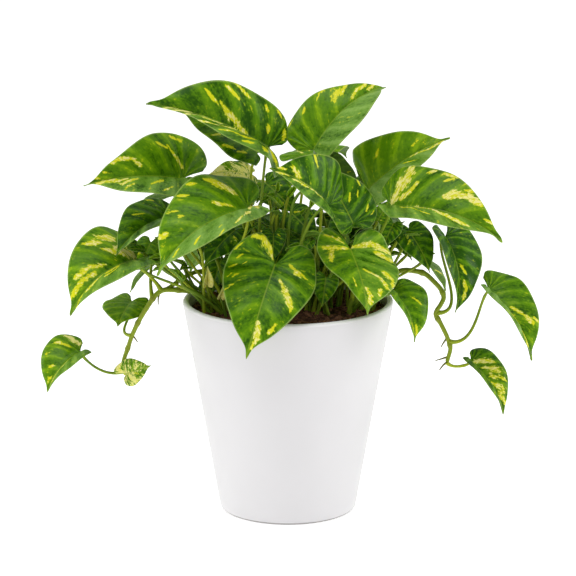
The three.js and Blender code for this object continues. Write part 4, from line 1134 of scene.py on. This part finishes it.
def leaf_finish(settings):
    """Variegated leaf: mottled greens, a pale midrib, yellow to cream streaks and a dull underside, with
    painted light and shade over the quilted skin and painted sheen on one half of some leaves.
    """
    paint = Finish("Variegated leaf")
    along, side, which = paint.field("vein")
    depth, cream, tone = paint.field("paint")
    under, spread, all_over = paint.field("lie")
    bloom = paint.field("bloom")[0]
    across = side.size()
    place = paint.place()
    blotch = paint.noise(place, 38, 3, 0.6) - 0.5
    stripes = paint.noise(paint.vector(along * 24, side * 2.4, which * 7.3), 1, 3, 0.6) - 0.5
    threads = paint.noise(paint.vector(along * 85, side * 5, which * 3.1), 1, 3, 0.65) - 0.5
    speckle = paint.noise(place, 420, 3, 0.6) - 0.5

    # mottled green, with painted light and shade of the quilted skin: lighter on the puffs between the
    # side veins and darker in the grooves along them
    vein_beat = (along * (2 * math.pi * settings.side_veins) + which).wave()
    lit_puffs = (0 - vein_beat).step(0.55, 1.0) * across.step(0.05, 0.2)
    mottle = blotch * 0.8 + stripes * 0.7 + threads * 0.9 + speckle * 0.9
    shade = tone * 0.32 + mottle + lit_puffs * 0.26 - vein_beat * 0.14 + 0.46
    # painted sheen: how much pale dull green lies on one half of some leaves, mottled and with the same
    # painted light and shade of the quilted skin
    dull = bloom * across.step(0.0, 0.08) * (mottle * 1.5 + lit_puffs * 0.3 - vein_beat * 0.2 + 0.55)

    # streaks and flecks: yellow-green with ragged ends, cream at the heart
    ragged = depth + stripes * 2.4 + threads * 2.1 + speckle * 1.6
    halo = ragged.step(-0.9, 0.5) * (cream * 0.5 + 0.2)
    heart = (ragged * 0.35 + cream - 1.0 + threads * 2.2 + speckle * 1.8).step(0.0, 0.45)
    lit = ragged.step(-0.05, 0.3)
    brush = (threads * 1.4 + stripes + speckle * 0.7 + across * 0.06).step(0.27, 0.46)

    # a leaf that is cream nearly all over: patches with paler threads
    patches = all_over * 0.9 + stripes * 3 + blotch * 2.2 + threads
    creamy = patches.step(0.42, 0.62) * all_over.step(0.05, 0.3)
    pale = (threads * 2 + speckle + 0.7).step(0.2, 0.9)

    # the coats, from the lowest up
    rib = 1 - spread.step(0.2, 0.75)
    skin = paint.coats(
        settings.deep,
        (shade.step(0.0, 0.55), settings.mid),
        (shade.step(0.5, 1.25), settings.light),
        # painted sheen on one half of some leaves
        (dull, settings.bloom),
        (halo, settings.light),
        (lit, paint.mix(heart, settings.streak, settings.cream)),
        (brush * 0.5, settings.streak),
        (creamy, paint.mix(pale, settings.streak, settings.cream)),
        (rib * 0.55, settings.rib),
        (across.step(0.96, 0.99) * 0.5, settings.margin),
        (under * 0.6 * (1 - lit * 0.8) * (1 - creamy), settings.underside),
    )
    relief = vein_beat * 0.2 + threads * 0.9 + speckle * 0.6
    return paint.finished(
        Base_Color=skin,
        Roughness=0.33 + blotch * 0.3 + under * 0.24 + speckle * 0.2,
        Specular_IOR_Level=settings.gloss,
        Normal=paint.bump(relief, 0.0003, 0.7),
    )


def stem_finish(settings):
    """Fresh green stalks, olive stems with brown joints, and brownish air roots."""
    paint = Finish("Stem skin")
    angle, gone, radius = paint.field("lie")
    kind, tone, seed = paint.field("paint")
    place = paint.place()
    blotch = paint.noise(place, 60, 3, 0.6)
    fibres = paint.noise(paint.vector(angle * 2.4, gone * 0.09, seed), 1, 3, 0.6)
    stem = kind.step(0.3, 0.9)
    root = kind.step(1.3, 1.9)
    brown = (radius * 0.3 + blotch - 0.75).step(0.2, 0.7) * stem
    skin = paint.coats(
        settings.stalk_dark,
        ((blotch + tone - 0.3).step(0.1, 0.9), settings.stalk),
        (fibres.step(0.45, 0.75) * 0.5, settings.stem),
        (stem * (0.35 + blotch * 0.5), settings.stem),
        (brown * 0.5, settings.joint),
        (root * 0.85, settings.root),
    )
    return paint.finished(
        Base_Color=skin,
        Roughness=0.42 + fibres * 0.2 + root * 0.2,
        Specular_IOR_Level=0.2,
        Normal=paint.bump(fibres * 0.7 + blotch * 0.3, 0.0003, 0.6),
    )


def soil_finish(settings):
    """Damp potting soil: dark peat with browner crumbs and pale fibres."""
    paint = Finish("Potting soil")
    crumb, shade = paint.field("paint")[:2]
    place = paint.place()
    clods = paint.noise(place, 260, 4, 0.65)
    grains = paint.noise(place, 1300, 3, 0.6)
    skin = paint.coats(
        settings.dark,
        (clods.step(0.35, 0.7), settings.brown),
        (crumb * shade * 0.8, settings.bark),
        (grains.step(0.62, 0.8) * 0.5, settings.bark),
    )
    return paint.finished(
        Base_Color=skin,
        Roughness=0.82 + grains * 0.15,
        Specular_IOR_Level=0.2,
        Normal=paint.bump(clods * 0.5 + grains * 0.5, 0.0012, 0.9),
    )


def pot_finish(settings):
    """White satin glaze with faint ripples and pores, painted light on the lip and a painted contact
    shadow along the bottom of the foot.
    """
    paint = Finish("White satin glaze")
    height = paint.field("lie")[0]
    place = paint.place()
    cloud = paint.noise(place, 14, 3, 0.5)
    ripple = paint.noise(place, 60, 2, 0.5)
    pores = paint.noise(place, 900, 2, 0.6)
    skin = paint.coats(
        settings.white,
        (cloud.step(0.3, 0.7), settings.shade),
        (pores.step(0.72, 0.85) * 0.12, settings.pore),
        # painted light: the top of the lip is brighter than the glaze, where the leaves above shade it
        (height.step(POT_HEIGHT - 2.6, POT_HEIGHT - 1), settings.lip),
        # painted contact shadow: the lowest 2 mm of the pot is dark
        (1 - height.step(0.9, 2.0), settings.ring),
    )
    return paint.finished(
        Base_Color=skin,
        Roughness=0.36 + cloud * 0.08 + pores * 0.04,
        Normal=paint.bump(ripple * 0.8 + pores * 0.2, 0.0002, 0.35),
    )


def floor_finish(settings):
    """Plain white studio floor."""
    paint = Finish("Studio floor")
    grain = paint.noise(paint.place(), 30, 2, 0.5)
    skin = paint.mix(grain, settings.floor, (0.9, 0.9, 0.9, 1.0))
    return paint.finished(
        Base_Color=skin,
        Roughness=0.7 + grain * 0.1,
        Normal=paint.bump(grain, 0.0002, 0.1),
        Emission_Color=(1, 1, 1, 1),
        Emission_Strength=settings.floor_glow,
    )


def number(name, description, default):
    """A whole-number property."""
    return bpy.props.IntProperty(name=name, description=description, default=default, min=1)


def amount(name, description, default, least=0, **kind):
    """A number property."""
    return bpy.props.FloatProperty(
        name=name, description=description, default=default, min=least, **kind
    )


def length(name, description, default):
    """A length property, in metres."""
    return amount(name, description, default, unit="LENGTH", precision=5)


def tint(name, description, default):
    """A colour property."""
    return bpy.props.FloatVectorProperty(
        name=name, description=description, default=default, subtype="COLOR", min=0, max=1
    )


class PothosLeafSettings(bpy.types.PropertyGroup):
    """Sizes and colours of the leaves."""

    rows: number("Rows", "Steps round half of a large blade", 88)
    columns: number("Columns", "Steps from the midrib to the edge of a large blade", 18)
    side_veins: number("Side veins", "Side veins on each half of a blade", 9)
    blade_thickness: length("Blade thickness", "Thickness of a blade near its midrib", 0.0006)
    puff: length("Puff", "Rise of the skin between two side veins", 0.0008)
    drift: length("Drift", "Rise of the slow undulation of a blade", 0.0009)
    rib_groove: length("Rib groove", "Depth of the groove above the midrib", 0.0005)
    rib_ridge: length("Rib ridge", "Height of the ridge below the midrib", 0.0007)
    deep: tint("Deep green", "Darkest green of a blade", (0.022, 0.09, 0.001))
    mid: tint("Mid green", "Main green of a blade", (0.098, 0.245, 0.002))
    light: tint("Light green", "Lightest green, and the halo of a streak", (0.24, 0.43, 0.005))
    rib: tint("Midrib", "Colour of the midrib", (0.3, 0.42, 0.03))
    margin: tint("Margin", "Pale line along the edge of a blade", (0.42, 0.56, 0.14))
    # painted sheen: the pale dull green laid on one half of some leaves
    bloom: tint("Bloom", "Dull green of a half with a waxy bloom", (0.24, 0.42, 0.09))
    streak: tint("Streak", "Yellow-green of a streak", (0.7, 0.7, 0.012))
    cream: tint("Cream", "Cream at the heart of a streak", (0.92, 0.86, 0.3))
    underside: tint("Underside", "Dull green of the lower side", (0.11, 0.2, 0.03))
    gloss: amount("Gloss", "Strength of the shine of a blade", 0.13, max=1)


class PothosStemSettings(bpy.types.PropertyGroup):
    """Sizes and colours of the stems and stalks."""

    stem_sides: number("Stem sides", "Sides of a stem tube", 14)
    stem_steps: number("Stem steps", "Rings between two points of a stem", 10)
    stalk_sides: number("Stalk sides", "Sides of a leaf stalk tube", 10)
    stalk_steps: number("Stalk steps", "Rings along a leaf stalk", 36)
    joint_gap: length("Joint gap", "Distance between two leaf joints of a stem", 0.021)
    stalk: tint("Stalk", "Light yellow-green of a stalk", (0.44, 0.52, 0.025))
    stalk_dark: tint("Dark stalk", "Darker green of a stalk", (0.12, 0.22, 0.01))
    stem: tint("Stem", "Olive of an old stem", (0.21, 0.29, 0.02))
    joint: tint("Joint", "Brown of a leaf joint", (0.16, 0.13, 0.03))
    root: tint("Air root", "Brown of an air root", (0.14, 0.13, 0.03))


class PothosYoungSettings(bpy.types.PropertyGroup):
    """Number and sizes of the young leaves in the middle of the plant."""

    count: number("Count", "Young leaves", 46)
    seed: number("Seed", "Start of the random draws", 12)
    low: length("Lowest", "Height of the lowest young leaf", 0.164)
    high: length("Highest", "Height of the highest young leaf", 0.21)
    short_leaf: length("Shortest", "Length of the shortest young leaf", 0.014)
    long_leaf: length("Longest", "Length of the longest young leaf", 0.03)


class PothosPotSettings(bpy.types.PropertyGroup):
    """Sizes and colours of the pot."""

    sides: number("Sides", "Sides of the turned pot", 192)
    foot_round: length("Foot rounding", "Radius of the rounded foot", 0.0028)
    white: tint("White", "Main white of the glaze", (0.7, 0.688, 0.7))
    shade: tint("Shade", "Slightly darker clouds in the glaze", (0.68, 0.668, 0.68))
    pore: tint("Pore", "Pin holes in the glaze", (0.55, 0.55, 0.54))
    # painted light on the lip, brighter than the glaze, where the leaves above shade it
    lip: tint("Lip", "Thick glaze on the lip", (0.93, 0.92, 0.93))
    # painted contact shadow along the bottom of the foot
    ring: tint("Foot ring", "Bare clay of the foot ring", (0.22, 0.21, 0.2))


class PothosSoilSettings(bpy.types.PropertyGroup):
    """Sizes and colours of the soil."""

    crumbs: number("Crumbs", "Loose crumbs on the soil", 1500)
    crumb_small: length("Small crumb", "Width of the smallest crumb", 0.0012)
    crumb_large: length("Large crumb", "Width of the largest crumb", 0.0042)
    relief: length("Relief", "Height of the loose surface", 0.0014)
    dark: tint("Dark peat", "Darkest colour of the soil", (0.045, 0.018, 0.01))
    brown: tint("Brown peat", "Main colour of the soil", (0.15, 0.062, 0.035))
    bark: tint("Bark", "Colour of bark crumbs and fibres", (0.32, 0.15, 0.085))


class PothosStudioSettings(bpy.types.PropertyGroup):
    """The floor, the lights and the camera."""

    floor: tint("Floor", "Colour of the floor", (0.93, 0.93, 0.93))
    floor_size: length("Floor size", "Side of the square floor", 16.0)
    floor_glow: amount("Floor glow", "Light from under the translucent floor", 0.6)
    sky: amount("Sky", "Brightness of the studio sky", 0.42)
    top_power: amount("Top lamp", "Power of the large lamp above", 13.5, unit="POWER")
    left_power: amount("Left lamp", "Power of the lamp on the left", 12.0, unit="POWER")
    right_power: amount("Right lamp", "Power of the lamp on the right", 15.5, unit="POWER")
    elevation: amount("Elevation", "Height angle of the camera", math.radians(14), subtype="ANGLE")
    distance: length("Distance", "Camera to the middle of the plant", 2.4)
    aim_height: length("Aim height", "Height that the camera looks at", 0.1628)
    lens: amount("Lens", "Focal length in millimetres", 209.0, least=1, subtype="DISTANCE_CAMERA")


class POTHOS_OT_pot(bpy.types.Operator):
    """Turn the white pot."""

    bl_idname = "pothos.pot"
    bl_label = "Pot"

    def execute(self, context):
        settings = context.scene.pothos_pot
        place_piece(pot_mesh(settings), pot_finish(settings), "pot")
        return {"FINISHED"}


class POTHOS_OT_soil(bpy.types.Operator):
    """Lay the soil with its crumbs."""

    bl_idname = "pothos.soil"
    bl_label = "Soil"

    def execute(self, context):
        settings = context.scene.pothos_soil
        place_piece(soil_mesh(settings), soil_finish(settings), "soil")
        return {"FINISHED"}


class POTHOS_OT_stems(bpy.types.Operator):
    """Grow the rooted stems, their leaf stalks and air roots."""

    bl_idname = "pothos.stems"
    bl_label = "Stems"

    def execute(self, context):
        settings = context.scene.pothos_stem
        skin = stem_finish(settings)
        for name, rods in STEMS.items():
            draw = np.random.default_rng(sum(map(ord, name)))
            bundle = Bundle()
            for start_radius, end_radius, foot, above in rods:
                path = [(*foot, STEM_FOOT), (*foot, STEM_NECK), *above]
                stem = stem_tube(start_radius, end_radius, path, settings, len(above) > 1)
                bundle.add_tube(stem, STEM, 0.4)
            for start_radius, end_radius, path in AIR_ROOTS.get(name, []):
                root = stem_tube(start_radius, end_radius, path, settings, False)
                bundle.add_tube(root, ROOT, 0.3)
            for leaf in LEAVES:
                if leaf.stem == name:
                    bundle.add_tube(stalk_tube(leaf, settings), STALK, draw.uniform(0, 0.6))
            place_piece(bundle.piece(name + "_fine"), skin, name)
        return {"FINISHED"}


class POTHOS_OT_young(bpy.types.Operator):
    """Fill the middle of the plant with young leaves on thin stalks."""

    bl_idname = "pothos.young"
    bl_label = "Young leaves"

    def execute(self, context):
        scene = context.scene
        draw = np.random.default_rng(STALK_SEED)
        stalks, blades = Bundle(), Bundle()
        for leaf in young_plants(scene.pothos_young):
            stalks.add_tube(stalk_tube(leaf, scene.pothos_stem), STALK, draw.uniform(-0.2, 0.5))
            blades.add(*blade(leaf, scene.pothos_leaf))
        place_piece(stalks.piece("young_stalks"), bpy.data.materials["Stem skin"])
        place_piece(blades.piece("young_blades"), bpy.data.materials["Variegated leaf"])
        return {"FINISHED"}


class POTHOS_OT_leaves(bpy.types.Operator):
    """Unfold every leaf blade."""

    bl_idname = "pothos.leaves"
    bl_label = "Leaves"

    def execute(self, context):
        settings = context.scene.pothos_leaf
        skin = leaf_finish(settings)
        for leaf in LEAVES:
            points, faces, fields = blade(leaf, settings)
            piece = make_mesh(leaf.name + "_blade", points, faces, fields)
            place_piece(piece, skin, leaf.name)
        return {"FINISHED"}


class POTHOS_OT_studio(bpy.types.Operator):
    """Set the floor, the lights and the camera."""

    bl_idname = "pothos.studio"
    bl_label = "Studio"

    def execute(self, context):
        settings = context.scene.pothos_studio
        half = settings.floor_size / 2
        corners = [(-half, -half, 0), (half, -half, 0), (half, half, 0), (-half, half, 0)]
        floor = make_mesh("studio_floor", corners, [(0, 1, 2, 3)])
        floor.data.materials.append(floor_finish(settings))

        world = bpy.data.worlds.new("Studio sky")
        world.use_nodes = True
        sky = world.node_tree.nodes["Background"]
        sky.inputs["Color"].default_value = (1, 1, 1, 1)
        sky.inputs["Strength"].default_value = settings.sky
        context.scene.world = world
        for name, place, width in LAMPS:
            lamp = bpy.data.lights.new(name + " lamp", "AREA")
            lamp.size = width
            lamp.energy = getattr(settings, name.lower() + "_power")
            light = bpy.data.objects.new(name + " lamp", lamp)
            light.location = place
            way = Vector(LAMP_AIM) - light.location
            light.rotation_euler = way.to_track_quat("-Z", "Y").to_euler()
            context.scene.collection.objects.link(light)

        target = Vector((0, 0, settings.aim_height))
        reach = settings.distance
        offset = Vector((0, -math.cos(settings.elevation), math.sin(settings.elevation))) * reach
        lens = bpy.data.cameras.new("Studio camera")
        lens.lens = settings.lens
        lens.sensor_width = 36
        lens.clip_end = 50
        camera = bpy.data.objects.new("Studio camera", lens)
        camera.location = target + offset
        camera.rotation_euler = (-offset).to_track_quat("-Z", "Y").to_euler()
        context.scene.collection.objects.link(camera)
        context.scene.camera = camera
        context.scene.view_settings.view_transform = "Standard"
        return {"FINISHED"}


class POTHOS_PT_parts(bpy.types.Panel):
    """The sizes and colours of every part, with the step that makes it."""

    bl_idname = "POTHOS_PT_parts"
    bl_label = "Potted pothos"
    bl_space_type = "VIEW_3D"
    bl_region_type = "UI"
    bl_category = "Pothos"

    def draw(self, context):
        for part, (_, step) in PARTS.items():
            settings = getattr(context.scene, "pothos_" + part)
            box = self.layout.box()
            for key in settings.__annotations__:
                box.prop(settings, key)
            box.operator(step.bl_idname)


# Each part with its settings and the step that makes it.
PARTS = {
    "pot": (PothosPotSettings, POTHOS_OT_pot),
    "soil": (PothosSoilSettings, POTHOS_OT_soil),
    "stem": (PothosStemSettings, POTHOS_OT_stems),
    "leaf": (PothosLeafSettings, POTHOS_OT_leaves),
    "young": (PothosYoungSettings, POTHOS_OT_young),
    "studio": (PothosStudioSettings, POTHOS_OT_studio),
}
CLASSES = (*sum(PARTS.values(), ()), POTHOS_PT_parts)


def register():
    """Adds the classes and one group of settings for each part to the scene."""
    for cls in CLASSES:
        bpy.utils.register_class(cls)
    for part, (group, _) in PARTS.items():
        setattr(bpy.types.Scene, "pothos_" + part, bpy.props.PointerProperty(type=group))


def unregister():
    """Takes the settings and the classes away again."""
    for part in PARTS:
        delattr(bpy.types.Scene, "pothos_" + part)
    for cls in reversed(CLASSES):
        bpy.utils.unregister_class(cls)


def main():
    """Makes every piece in order."""
    register()
    bpy.ops.pothos.pot()
    bpy.ops.pothos.soil()
    bpy.ops.pothos.stems()
    bpy.ops.pothos.leaves()
    bpy.ops.pothos.young()
    bpy.ops.pothos.studio()


if __name__ == "__main__":
    main()
